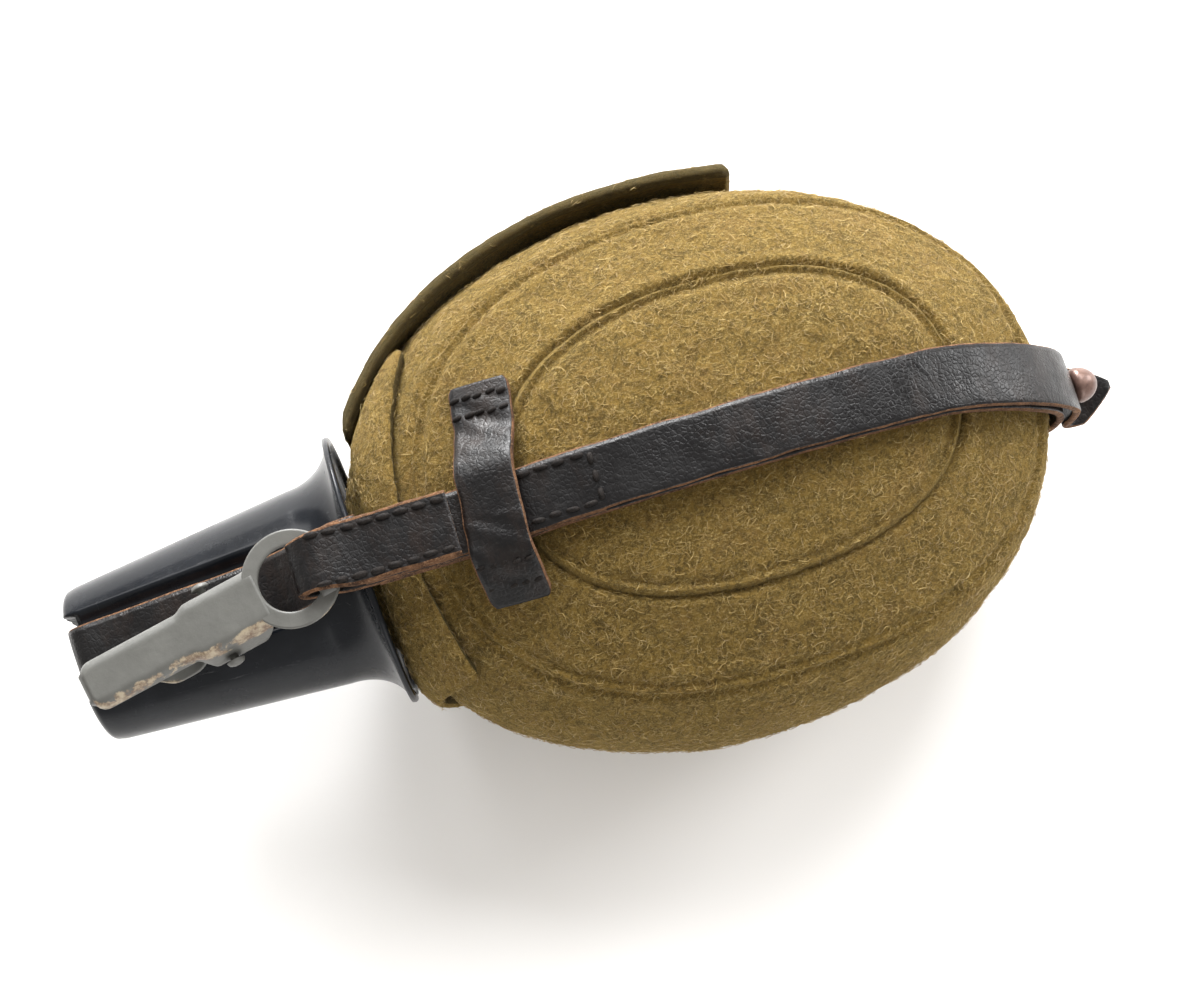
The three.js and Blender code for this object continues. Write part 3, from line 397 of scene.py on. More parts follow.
def cupMaterial():
    m = Nodes("cup_moulding")
    scratches = m.ramp(m.noise(500, 9, 0.8, (0.06, 1, 1), 0.6), 0.6, 0.68)
    crossed = m.ramp(m.noise(700, 9, 0.8, (1, 0.07, 0.4), 0.9), 0.63, 0.7)
    marks = m.times(scratches, crossed, "MAXIMUM")
    color = m.mix(m.ramp(m.noise(60, 6, 0.6), 0.35, 0.7), (0.0045, 0.0055, 0.0075), (0.009, 0.0105, 0.0135))
    color = m.mix(m.times(marks, 0.25), color, (0.12, 0.12, 0.12))
    rough = m.times(m.ramp(m.noise(90, 7, 0.7), 0.3, 0.75, 0.16, 0.34), m.times(marks, 0.25), "ADD")
    m.bump([(m.noise(55, 3, 0.5), 0.12, 0.0015), (m.noise(900, 6, 0.7), 0.12, 0.0001)])
    return m.finish(color, rough, Coat_Weight=0.04, Coat_Roughness=0.1, Specular_IOR_Level=0.15)


hookLook = {"paint": (0.100, 0.100, 0.092), "cream": (0.36, 0.30, 0.21), "rust": (0.13, 0.075, 0.04)}


def hookMaterial():
    m = Nodes("hook_paint")
    wear = m.add("ShaderNodeAttribute", attribute_name="wear").outputs["Fac"]
    mottled = m.mix(m.ramp(m.noise(150, 7, 0.7), 0.35, 0.68), tuple(c * 0.86 for c in hookLook["paint"]),
                    tuple(c * 1.08 for c in hookLook["paint"]))
    patchy = m.times(m.ramp(m.noise(120, 5, 0.6), 0.38, 0.6), m.ramp(m.noise(420, 8, 0.75), 0.25, 0.6))
    worn = m.ramp(m.times(wear, patchy), 0.28, 0.5)
    rusty = m.mix(m.ramp(m.noise(420, 7, 0.7), 0.42, 0.6), hookLook["rust"], hookLook["cream"])
    color = m.mix(worn, mottled, rusty)
    color = m.mix(m.ramp(m.noise(500, 8, 0.8), 0.7, 0.76), color, hookLook["rust"])
    rough = m.ramp(m.noise(200, 6, 0.7), 0.3, 0.7, 0.34, 0.56)
    m.bump([(m.noise(420, 7, 0.7), 0.4, 0.00025), (worn, 0.35, 0.00012)])
    return m.finish(color, rough, Metallic=0.0, Specular_IOR_Level=0.5)


def speckled(name, low, high, scale, roughLow, roughHigh, metallic=0.0, bump=0.2, specular=0.5):
    m = Nodes(name)
    color = m.mix(m.ramp(m.noise(scale, 7, 0.7), 0.36, 0.66), low, high)
    rough = m.ramp(m.noise(scale * 0.8, 6, 0.65), 0.3, 0.7, roughLow, roughHigh)
    m.bump([(m.noise(scale * 2.2, 7, 0.7), bump, 0.0002)])
    return m.finish(color, rough, Metallic=metallic, Specular_IOR_Level=specular)


felt = feltMaterial("wool_felt")
# Felt made 8% lighter for the raised collar and flap: painted light on the raised pieces.
feltRaisedLit = feltMaterial("wool_felt_raised_painted_light", 1.08)
# Felt darkened to a fifth for the cut edges of the collar and flap: painted shade on the thin edges, not a
# darker felt.
feltCutShaded = feltMaterial("felt_cut_edge_painted_shade", 0.2)
leather = leatherMaterial("black_leather", 0.31, 0.4)
leatherGloss = leatherMaterial("polished_leather", 0.29, 0.3)
rawEdge = rawEdgeMaterial("raw_leather_edge")
cupPlastic = cupMaterial()
hookPaint = hookMaterial()
threadDark = speckled("waxed_thread", (0.004, 0.0035, 0.0035), (0.016, 0.012, 0.010), 1400, 0.6, 0.85, 0.0,
                      0.6, 0.18)
seamThread = speckled("seam_thread", (0.05, 0.035, 0.014), (0.15, 0.11, 0.05), 1500, 0.7, 0.9, 0.0, 0.6)
studLacquer = speckled("stud_lacquer", (0.085, 0.047, 0.038), (0.21, 0.127, 0.10), 260, 0.25, 0.45, 0.3)
steelDull = speckled("dull_steel", (0.16, 0.16, 0.155), (0.34, 0.335, 0.32), 300, 0.3, 0.5, 0.9)
bareAluminium = speckled("bare_aluminium", (0.42, 0.42, 0.43), (0.62, 0.62, 0.63), 180, 0.28, 0.46, 1.0)
capPlastic = speckled("cap_moulding", (0.014, 0.014, 0.016), (0.035, 0.034, 0.036), 140, 0.25, 0.4)
sealRubber = speckled("seal_rubber", (0.06, 0.03, 0.02), (0.13, 0.07, 0.045), 300, 0.7, 0.9)
print("materials done")


# The felt cover: a seamed skin over the body, from the middle of the back round to the front

cover = {"centreX": 7.7, "ovalX": 54.9, "ovalY": 36.8, "ovalPower": 2.23,
         "seamX": 77.4, "seamY": 58.6, "seamPower": 2.29, "around": 400,
         "ovalSteps": 64, "ringSteps": 44, "bandSteps": 96, "frontSteps": 50,
         "ridge": 1.5, "seamRidge": 0.5, "thickness": 2.6, "neckHole": 13.2}


def seamCurve(halfX, halfY, power, side, columns):
    angle = np.linspace(0, 2 * np.pi, columns, endpoint=False)
    c, s = np.cos(angle), np.sin(angle)
    r = (np.abs(c) ** power + np.abs(s) ** power) ** (-1 / power)
    x = cover["centreX"] + halfX * r * c
    y = halfY * r * s
    return np.stack([x, y, side * backZ(x, y)], axis=1)


def towards(points):
    d = points - np.array([cover["centreX"], 0, 0])
    return d / np.linalg.norm(d, axis=-1, keepdims=True)


# The point of the body's surface in each direction from the middle of the seams
def onBody(direction, offset=0.0):
    power = body["sectionPower"]
    low = np.zeros(direction.shape[:-1])
    high = np.full(direction.shape[:-1], 150.0)
    for _ in range(34):
        middle = (low + high) / 2
        p = np.array([cover["centreX"], 0, 0]) + direction * middle[..., None]
        wide = np.maximum(halfWidthAt(p[..., 0], offset), 1e-6)
        tall = np.maximum(heightAt(p[..., 0], offset), 1e-6)
        value = (np.abs(p[..., 1]) / wide) ** power + (np.abs(p[..., 2]) / tall) ** power
        inside = (value < 1) & (np.abs(p[..., 0]) < body["halfLength"] + offset)
        low = np.where(inside, middle, low)
        high = np.where(inside, high, middle)
    return np.array([cover["centreX"], 0, 0]) + direction * low[..., None]


def slerp(a, b, t):
    dot = np.clip((a * b).sum(-1, keepdims=True), -1, 1)
    angle = np.maximum(np.arccos(dot), 1e-6)
    return (np.sin((1 - t) * angle) * a + np.sin(t * angle) * b) / np.sin(angle)


def eased(count, gather):
    t = np.linspace(0, 1, count)
    return t - gather * np.sin(2 * np.pi * t) / (2 * np.pi)


def coverPatch(fromDirection, toDirection, steps):
    t = eased(steps + 1, 0.45)
    return onBody(np.stack([slerp(fromDirection, toDirection, v) for v in t]))


def distances(points, fromEnd):
    seg = np.linalg.norm(np.diff(points, axis=0), axis=2)
    total = np.concatenate([np.zeros((1, points.shape[1])), np.cumsum(seg, axis=0)])
    return total[-1] - total if fromEnd else total


def aroundLength(points, row):
    ring = points[row]
    seg = np.linalg.norm(np.roll(ring, -1, axis=0) - ring, axis=1)
    return np.concatenate([[0], np.cumsum(seg)[:-1]])


def seamShape(distance, along, height, spacing, groove=0.9):
    pull = 0.88 + 0.12 * np.cos(2 * np.pi * along / spacing)
    bump = height * np.exp(-((distance - 1.5) / 1.0) ** 2) * pull
    return bump - groove * np.exp(-(distance / 0.7) ** 2) - 0.4 * np.exp(-((distance - 4.2) / 1.6) ** 2)


def feltWaves(points, seed=0.0, amount=1.0):
    return amount * (0.65 * noiseAt(points, 26.0, seed) + 0.3 * noiseAt(points, 8.0, seed + 3)
                     + 0.16 * noiseAt(points, 2.4, seed + 7))


skins = []


def coverPiece(name, points, offset, node, keep=None):
    shaped = points + gridNormals(points) * offset[..., None]
    rows, columns = shaped.shape[:2]
    faces = gridFaces(rows, columns)
    if keep is not None:
        flat = keep.reshape(-1)
        faces = [f for f in faces if all(flat[v] for v in f)]
    piece = addMesh(name, shaped.reshape(-1, 3), [tuple(reversed(f)) for f in faces], [felt])
    shell = piece.modifiers.new("thickness", "SOLIDIFY")
    shell.thickness = cover["thickness"] * mm
    shell.offset = -1
    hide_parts(node)
    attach(piece, "canteen")
    skins.append(shaped)
    return piece, shaped


def makeCover():
    columns = cover["around"]
    oval = towards(seamCurve(cover["ovalX"], cover["ovalY"], cover["ovalPower"], 1, columns))
    seam = towards(seamCurve(cover["seamX"], cover["seamY"], cover["seamPower"], 1, columns))
    front = towards(seamCurve(cover["seamX"], cover["seamY"], cover["seamPower"], -1, columns))
    up = np.broadcast_to(np.array([0.0, 0.0, 1.0]), oval.shape)

    inner = coverPatch(up, oval, cover["ovalSteps"])
    inner[0] = inner[1] * 0.02 + inner[0] * 0.98
    along = aroundLength(inner, -1)
    edge = distances(inner, True)
    shape = 0.25 * seamShape(edge, along, cover["ridge"], 4.6, 3.4) - 0.75 * smoothStep(edge, 0.6, 5.0)
    coverPiece("cover_oval", inner, shape + feltWaves(inner, 1.0), "back_oval_panel")

    ring = coverPatch(oval, seam, cover["ringSteps"])
    near = distances(ring, False)
    far = distances(ring, True)
    shape = seamShape(near, along, cover["ridge"], 4.6, 0.2)
    shape += seamShape(far, aroundLength(ring, -1), cover["seamRidge"], 4.2, 0.7)
    shape += 0.35 * np.sin(np.pi * near / (near + far))
    coverPiece("cover_ring", ring, shape + feltWaves(ring, 1.0), "back_ring_panel")

    band = coverPatch(seam, front, cover["bandSteps"])
    near = distances(band, False)
    far = distances(band, True)
    shape = seamShape(near, aroundLength(band, 0), cover["seamRidge"], 4.2, 0.7)
    shape += seamShape(far, aroundLength(band, -1), cover["seamRidge"], 4.2, 0.7)
    mouth = np.hypot(band[..., 1], band[..., 2])
    keep = (band[..., 0] > -60) | (mouth > cover["neckHole"])
    coverPiece("cover_band", band, shape + feltWaves(band, 4.0), "side_band", keep)

    down = -up
    lower = coverPatch(front, down, cover["frontSteps"])
    lower[-1] = lower[-2] * 0.02 + lower[-1] * 0.98
    near = distances(lower, False)
    shape = seamShape(near, aroundLength(lower, 0), cover["seamRidge"], 4.2, 0.7)
    flatten = 0.3 * smoothStep(-lower[..., 2], 38, 43)
    coverPiece("cover_front", lower, shape + feltWaves(lower, 6.0, 0.7) - flatten, "front_panel")
    return ring


ringGrid = makeCover()
print("cover done")


# Loose wool fibres lying on the felt, as thin curled threads
fibre = {"perCover": 15000, "perFlap": 700, "shortest": 1.1, "longest": 3.6, "radius": 0.07,
         "curl": 0.6, "rise": 0.5}


def fibreMaterial():
    m = Nodes("wool_fibre")
    shade = m.add("ShaderNodeAttribute", attribute_name="shade").outputs["Fac"]
    color = m.mix(shade, feltLook["mid"], feltLook["light"])
    color = m.mix(m.times(m.ramp(m.noise(900, 4, 0.6), 0.4, 0.6), 0.3), color, feltLook["mid"])
    return m.finish(color, m.ramp(m.noise(400, 4, 0.6), 0.3, 0.7, 0.85, 0.98), Sheen_Weight=0.2)


def makeFibres(name, grids, count, seed):
    rng = np.random.default_rng(seed)
    centres = []
    normals = []
    weights = []
    for grid in grids:
        a, b = grid[:-1], grid[1:]
        across = np.roll(a, -1, axis=1) - a
        along = b - a
        cross = np.cross(along, across)
        area = np.linalg.norm(cross, axis=2)
        middle = (a + b) / 2 + across / 2
        normal = -cross / np.maximum(area, 1e-9)[..., None]
        outward = (normal * (middle - (cover["centreX"], 0, 0))).sum(2, keepdims=True)
        normal = normal * np.sign(outward)
        centres.append(middle.reshape(-1, 3))
        normals.append(normal.reshape(-1, 3))
        seen = np.where(middle[..., 2] > -25, 1.0, 0.35) * (np.hypot(middle[..., 1], middle[..., 2]) > 14)
        weights.append((area * seen).reshape(-1))
    centres, normals, weights = (np.concatenate(v) for v in (centres, normals, weights))
    pick = rng.choice(len(centres), count, p=weights / weights.sum())
    base, normal = centres[pick], normals[pick]
    side = rng.normal(size=base.shape)
    side -= (side * normal).sum(1, keepdims=True) * normal
    side /= np.linalg.norm(side, axis=1, keepdims=True)
    other = np.cross(normal, side)
    length = rng.uniform(fibre["shortest"], fibre["longest"], count)
    curl = rng.uniform(-fibre["curl"], fibre["curl"], count)
    rise = rng.uniform(0.02, fibre["rise"], count)
    radius = fibre["radius"] * rng.uniform(0.7, 1.4, count)
    stations = np.linspace(0, 1, 4)
    rings = np.zeros((count, 4, 3, 3))
    for i, share in enumerate(stations):
        bend = np.sin(math.pi * share * 1.3)
        middle = base + side * (length * (share - 0.5))[:, None] + other * (length * curl * bend)[:, None]
        middle = middle + normal * (0.02 + rise * math.sin(math.pi * share))[:, None]
        slim = 0.35 + 0.65 * math.sin(math.pi * share)
        for k in range(3):
            turn = 2 * math.pi * k / 3
            across = other * math.cos(turn) + normal * math.sin(turn)
            rings[:, i, k] = middle + across * (radius * slim)[:, None]
    faces = []
    for n in range(count):
        start = n * 12
        for i in range(3):
            for k in range(3):
                p = start + i * 3 + k
                q = start + i * 3 + (k + 1) % 3
                faces.append((p, q, q + 3, p + 3))
        faces.append((start + 2, start + 1, start))
        faces.append((start + 9, start + 10, start + 11))
    piece = addMesh(name, rings.reshape(-1, 3), faces, [woolFibre])
    shade = np.repeat(rng.beta(1.0, 1.6, count), 12)
    data = piece.data.attributes.new("shade", "FLOAT", "POINT")
    data.data.foreach_set("value", shade.astype(np.float32))
    return piece


woolFibre = fibreMaterial()


# The collar over the shoulder and the flap along the far side

collar = {"startX": -84.6, "roomIn": 15.0, "overBody": 2.0, "endX": -60.0, "ovalX": 75.0, "ovalY": 87.5, "near": -38.0, "far": 46.0,
          "lift": 0.35,
          "thickness": 3.2, "above": 16.8, "below": 22.0}
flap = {"fromX": -84.0, "toX": 30.0, "halfHeight": 16.0, "standOff": 1.2, "thickness": 3.4,
        "lean": 2.6, "shadeStripFrom": 0.42}


def aroundBody(x, angle, offset):
    c, s = np.cos(angle), np.sin(angle)
    p = body["sectionPower"]
    r = (np.abs(c) ** p + np.abs(s) ** p) ** (-1 / p)
    return np.stack([x, halfWidthAt(x, offset) * r * c, heightAt(x, offset) * r * s], axis=-1)


# The angle round the body where it meets the room left for the flap, above it or below it
def roomAngle(x, height, level):
    wide = float(halfWidthAt(np.array(x), collar["overBody"]))
    tall = float(heightAt(np.array(x), collar["overBody"]))
    best = 90.0
    for step in range(90, 4, -1):
        angle = math.radians(step)
        c, si = math.cos(angle), math.sin(angle)
        r = (c ** body["sectionPower"] + si ** body["sectionPower"]) ** (-1 / body["sectionPower"])
        if wide * r * c > level and tall * r * si < height:
            break
        best = step
    return math.radians(best)


def makeCollar():
    xs = np.arange(collar["startX"], collar["endX"] + 0.01, 0.5)
    first = np.array([roomAngle(x, collar["above"], collar["roomIn"]) for x in xs])
    last = 2 * math.pi - np.array([roomAngle(x, collar["below"], collar["roomIn"]) for x in xs])
    shares = np.linspace(0, 1, 300)
    ends = []
    for share in shares:
        angle = first + (last - first) * share
        points = aroundBody(xs, angle, collar["overBody"])
        out = ((xs / collar["ovalX"]) ** 2 + (points[:, 1] / collar["ovalY"]) ** 2 < 1)
        out |= (points[:, 1] > collar["far"]) | (points[:, 1] < collar["near"])
        ends.append(xs[np.argmax(out)] if out.any() else xs[-1])
    ends = relax(np.stack([shares, np.array(ends)], axis=1), 3)[:, 1]
    section, edge = flatSection(0.5, 0.5, 0.02, 26, 4)
    loops = np.zeros((len(shares), len(section), 3))
    for i, share in enumerate(shares):
        edgeX = max(ends[i], collar["startX"] + 1.5) + 0.5 * noise.noise(Vector((share * 12, 0, 3)))
        x = collar["startX"] + (edgeX - collar["startX"]) * (section[:, 0] + 0.5)
        angle = np.interp(x, xs, first) + (np.interp(x, xs, last) - np.interp(x, xs, first)) * share
        soft = np.minimum(1.0, (0.5 - np.abs(section[:, 0])) * (edgeX - collar["startX"]) / 1.3) ** 0.5
        top = section[:, 1] > 0
        lift = np.where(top, collar["lift"] + collar["thickness"] * (0.45 + 0.55 * soft), collar["lift"])
        for j in range(len(section)):
            loops[i, j] = aroundBody(np.array(x[j]), np.array(angle[j]), float(lift[j]))
    loops[..., 0] += 0.25 * noiseAt(loops, 4.0, 2.0)
    loops[..., 2] += 0.3 * noiseAt(loops, 5.0, 8.0)
    skins.append(loops)
    # The collar's faces take the lighter felt copy (painted light) and its cut edges the darkened copy
    # (painted shade).
    piece = loftPiece("shoulder_band", loops, [feltRaisedLit, feltCutShaded], edge)
    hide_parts("shoulder_collar")
    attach(piece, "canteen")


def makeFlap():
    section, edge = flatSection(0.5, flap["thickness"] / 2, 0.02, 26, 5)
    # The outer strips of both faces, past this share of the height, also take the darkened felt copy: painted
    # shade along the flap's top and bottom rims.
    edge = [1 if e or abs(a) > flap["shadeStripFrom"] else 0 for e, a in zip(edge, section[:, 0])]
    stations = 200
    middle = (flap["fromX"] + flap["toX"]) / 2
    reach = (flap["toX"] - flap["fromX"]) / 2
    loops = np.zeros((stations, len(section), 3))
    for i in range(stations):
        share = -math.cos(math.pi * i / (stations - 1))
        x = middle + reach * share
        tall = flap["halfHeight"] * max(0.02, (1 - abs(share) ** 9) ** (1 / 9))
        for j, (a, b) in enumerate(section):
            z = 2 * a * tall
            edgeIn = min(1.0, (0.5 - abs(a)) * 2 * tall / 1.4)
            endIn = min(1.0, (1 - abs(share)) * reach / 1.4)
            thick = b * max(0.3, (edgeIn ** 0.5) * (endIn ** 0.5 + 0.001))
            offset = flap["standOff"] + flap["thickness"] / 2 + thick
            high = float(heightAt(np.array(x), offset))
            wide = float(halfWidthAt(np.array(x), offset))
            y = wide * float(arc(np.array(z / high), body["sectionPower"]))
            y += flap["lean"] * float(smoothStep(np.array(z), 0.0, 16.0))
            loops[i, j] = (x, y, z)
    ripple = noiseAt(loops, 12.0, 3.0) * 0.45 + noiseAt(loops, 3.0, 5.0) * 0.15
    loops[..., 1] += ripple
    loops[..., 2] += noiseAt(loops, 7.0, 12.0) * 0.35
    # The flap's faces take the lighter felt copy (painted light); its cut edges and rim strips take the
    # darkened copy (painted shade).
    piece = loftPiece("side_closing_flap", loops, [feltRaisedLit, feltCutShaded], edge)
    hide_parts("closing_flap")
    for cloth in (piece, makeFibres("flap_fibres", [loops], fibre["perFlap"], 29)):
        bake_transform(cloth)


makeCollar()
makeFlap()
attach(makeFibres("wool_fibres", skins, fibre["perCover"], 11), "canteen")
print("collar, flap and fibres done")


# The cup, with its rim bead and the channel that the harness lies in

cup = {"length": 74.0, "rim": 35.3, "waist": 25.7, "end": 19.8, "flare": 13.0, "wall": 2.2,
       "channel": 20.5, "depth": 4.6, "endDepth": 3.4, "lip": 0.9, "around": 288}
cupTurn = math.radians(2.5)


def fromCup(points):
    points = np.asarray(points, float)
    c, s = math.cos(cupTurn), math.sin(cupTurn)
    x = points[..., 0] * c - points[..., 1] * s + rimX
    y = points[..., 0] * s + points[..., 1] * c - 1.0
    return np.stack([x, y, points[..., 2]], axis=-1)


def cupRadius(d):
    straight = cup["length"] - cup["flare"]
    taper = cup["end"] + (cup["waist"] - cup["end"]) * np.minimum(1, d / straight)
    s = np.clip((d - straight) / cup["flare"], 0, 1)
    return taper + (cup["rim"] - cup["waist"]) * (1 - np.sqrt(np.maximum(0, 1 - s * s)))


# Radius of the cup in a direction, with the channel sunk into the back and the front
def cupSection(angle, d, inset):
    radius = cupRadius(d) - inset
    straight = cup["length"] - cup["flare"]
    fade = smoothStep(d, straight - 8, straight + 7)
    floor = cupRadius(np.minimum(d, straight + 4)) - cup["depth"] * (1 - fade) - inset
    floor = np.where(fade >= 1, 1e3, floor + fade * 2)
    half = cup["channel"] / 2 + inset
    sunk = np.minimum(radius, floor / np.maximum(np.abs(np.sin(angle)), 1e-3))
    outside = smoothStep(np.abs(radius * np.cos(angle)), half - cup["lip"], half + cup["lip"])
    return sunk + (radius - sunk) * outside


def makeCup():
    angle = np.linspace(0, 2 * np.pi, cup["around"], endpoint=False)
    loops = []

    def ringAt(d, inset, radial=1.0):
        r = cupSection(angle, np.full_like(angle, d), inset) * radial
        x = np.full_like(angle, d - cup["length"])
        return np.stack([x, r * np.cos(angle), r * np.sin(angle)], axis=1)

    def endRing(share, inset, x):
        ring = ringAt(0.0, inset, share)
        half = cup["channel"] / 2 + inset
        groove = 1 - smoothStep(np.abs(ring[:, 1]), half - 0.5, half + 0.7)
        ring[:, 0] = x + cup["endDepth"] * groove
        return ring

    endX = -cup["length"]
    for share in (0.03, 0.2, 0.4, 0.6, 0.75, 0.86):
        loops.append(endRing(share, 0.0, endX))
    for step in range(1, 7):
        a = math.radians(90 * step / 6)
        shareIn = 0.86 + 0.14 * math.sin(a)
        ring = endRing(shareIn, 0.0, endX)
        ring[:, 0] += 2.2 * (1 - math.cos(a))
        loops.append(ring)
    straight = cup["length"] - cup["flare"]
    outFlare = straight + cup["flare"] * np.sin(np.linspace(0.05, math.pi / 2, 22))
    for d in np.concatenate([np.linspace(3.4, straight, 44), outFlare]):
        loops.append(ringAt(d, 0.0))
    rim = loops[-1].copy()
    for step in range(1, 9):
        a = math.radians(180 * step / 8)
        ring = rim.copy()
        r = cup["rim"] - 1.0 + 1.0 * math.cos(a) + (0.25 if step < 4 else 0)
        ring[:, 0] = 0.35 + 1.25 * math.sin(a)
        ring[:, 1:] = rim[:, 1:] / np.linalg.norm(rim[:, 1:], axis=1, keepdims=True) * r
        loops.append(ring)
    inFlare = straight + cup["flare"] * np.sin(np.linspace(math.pi / 2 * 0.93, 0.05, 14))
    for d in np.concatenate([inFlare, np.linspace(straight, 6.5, 24)]):
        loops.append(ringAt(d, cup["wall"]))
    for share in (0.96, 0.8, 0.5, 0.03):
        ring = endRing(share, cup["wall"], endX + cup["wall"])
        loops.append(ring)
    loops = fromCup(np.array(loops))
    dent = 0.12 * noiseAt(loops, 30.0, 4.0)
    loops[..., 2] += dent
    piece = loftPiece("cup_shell", loops, [cupPlastic])
    chip(piece)
    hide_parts("drinking_cup")
    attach(piece, "cup")
    return piece


# A small chip out of the rim on the near side
def chip(piece):
    centre = Vector(toRow(fromCup(np.array([1.0, -33.5, -10.0]))))
    for vert in piece.data.vertices:
        gap = (vert.co - centre).length / mm
        if gap < 4.0:
            vert.co.y += 1.6 * mm * (1 - gap / 4.0) ** 0.7
            vert.co.x -= 0.7 * mm * (1 - gap / 4.0)


makeCup()
print("cup done")


# Side paths of the harness, in millimetres: x along the canteen and z up

def profile(offset, fromAngle, toAngle, steps):
    angle = np.radians(np.linspace(fromAngle, toAngle, steps + 1))
    c, s = np.cos(angle), np.sin(angle)
    p = body["sidePower"]
    r = (np.abs(c / body["halfLength"]) ** p + np.abs(s / body["halfThickness"]) ** p) ** (-1 / p)
    x, z = r * c, r * s
    nx = np.sign(x) * np.abs(x / body["halfLength"]) ** (p - 1) / body["halfLength"]
    nz = np.sign(z) * np.abs(z / body["halfThickness"]) ** (p - 1) / body["halfThickness"]
    n = np.hypot(nx, nz)
    return np.stack([x + nx / n * offset, z + nz / n * offset], axis=1)


def profileAngle(x):
    return math.degrees(math.atan2(float(heightAt(np.array(x))), x))


flatEndX = -body["halfLength"]
while float(heightAt(np.array(flatEndX))) + lift < rimStrapZ:
    flatEndX += 0.5


def backPath(extra, fromX, toX, steps):
    level = [(x, rimStrapZ + extra) for x in np.arange(fromX, flatEndX - 4, 4.0)]
    return np.vstack([level, profile(lift + extra, profileAngle(flatEndX), profileAngle(toX), steps)])


def strapJoin(piece, body, node):
    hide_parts(node)
    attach(piece, body)


hookLoop = {"inner": 2.9, "topEnd": -63.0, "bottomEnd": -29.0, "nose": 6.1}


def makeHookLoop():
    topZ = rimStrapZ + 3 * layer
    bulge = hookLoop["inner"] + strap["thickness"] / 2
    noseX = barX - hookLoop["nose"] + strap["thickness"] / 2
    pinch = barX + 6
    top = catmull([(hookLoop["topEnd"], topZ), (pinch + 12, topZ), (pinch + 3, topZ + 0.35),
                   (barX + 1.5, barZ + bulge), (barX - 1.5, barZ + bulge), (noseX + 0.9, barZ + 2.2),
                   (noseX, barZ), (noseX + 0.9, barZ - 2.2), (barX - 1.5, barZ - bulge),
                   (barX + 1.5, barZ - bulge), (pinch + 3, rimStrapZ + layer + 0.05)], 10)
    path = np.vstack([top, backPath(layer, pinch + 10, hookLoop["bottomEnd"] + 1.5, 14)])

    def widthAt(point, share):
        return 1.0 - 0.16 * (1 - smoothStep(point[0], barX - 4.0, barX + 9.0))

    piece = strapPiece("hook_loop_strap", path, [leather, rawEdge], spacing=0.8, widthAt=widthAt, soften=3,
                       wander=0.45, seed=3.0, centre=lambda x: np.full_like(x, -4.2))
    strapJoin(piece, "canteen", "hook_loop")
    return path


def backStrapPath():
    base = profileAngle(body["halfLength"] * 0.7)
    along = backPath(2 * layer, barX + 10, body["halfLength"] * 0.7, 30)
    rounded = []
    for i in range(1, 15):
        angle = base * (1 - i / 14)
        rounded.append(profile(lift + 2 * layer - 1.2 * (1 - angle / base), angle, angle, 1)[0])
    last = rounded[-1]
    tab = catmull([last, last + (-0.6, -5), last + (-0.2, -8.6), last + (2.4, -10.4), last + (6, -9.6),
                   last + (14.2, -7.2)], 8)[1:]
    return np.vstack([along, rounded, tab])


def makeBackStrap():
    path = backStrapPath()
    tip = path[-1][0]

    def widthAt(point, share):
        if share < 0.9 or point[2] > -2:
            return 1.0
        return max(0.12, min(1.0, ((tip - point[0] + 0.6) / 9.5) ** 0.75))

    piece = strapPiece("back_strap_long", path, [leatherGloss, rawEdge], widthAt=widthAt, seed=7.0, wander=0.3)
    strapJoin(piece, "canteen", "back_strap")


buckle = {"x": -58.0, "length": 16.0, "wire": 1.1}
buckleZ = -(rimStrapZ + 2.5)


def makeHarness():
    back = backPath(0, rimX + 4.2, body["halfLength"] * 0.2, 16)
    rounded = profile(lift, profileAngle(body["halfLength"] * 0.2), -150, 54)[1:]
    rounded = rounded[(rounded[:, 1] > 0) | (rounded[:, 0] > buckle["x"] + 9)]
    wrap = buckle["wire"] + 0.5 + strap["thickness"] / 2
    turn = [(buckle["x"] + wrap * math.cos(math.radians(90 + 22.5 * i)),
             buckleZ + wrap * math.sin(math.radians(90 + 22.5 * i))) for i in range(9)]
    path = np.vstack([back, rounded, turn, [(buckle["x"] + 8, buckleZ - wrap + 0.1)]])
    strapJoin(strapPiece("harness_long", path, [leather, rawEdge], soften=2, seed=11.0), "canteen",
              "harness_strap")


def makeTail():
    wrap = buckle["wire"] + 0.5 + strap["thickness"] / 2
    outside = buckleZ - wrap - layer
    roller = buckle["x"] - buckle["length"]

    def lower(x):
        return -(float(heightAt(np.array(x))) + lift + layer)

    x = buckle["x"]
    path = catmull([(rimX + 4.2, -rimStrapZ), (roller - 2, -rimStrapZ + 1.4), (roller + 1, -rimStrapZ + 0.8),
                    (x - 8, buckleZ - 1.5), (x - 3, outside + 0.4), (x + 1, outside), (x + 8, outside - 0.1),
                    (x + 15, lower(x + 15) - 0.4), (-34, lower(-34) - 0.2)], 10)
    piece = strapPiece("harness_tail_end", path, [leather, rawEdge], width=14.8, soften=2, seed=13.0)
    strapJoin(piece, "canteen", "harness_tail")


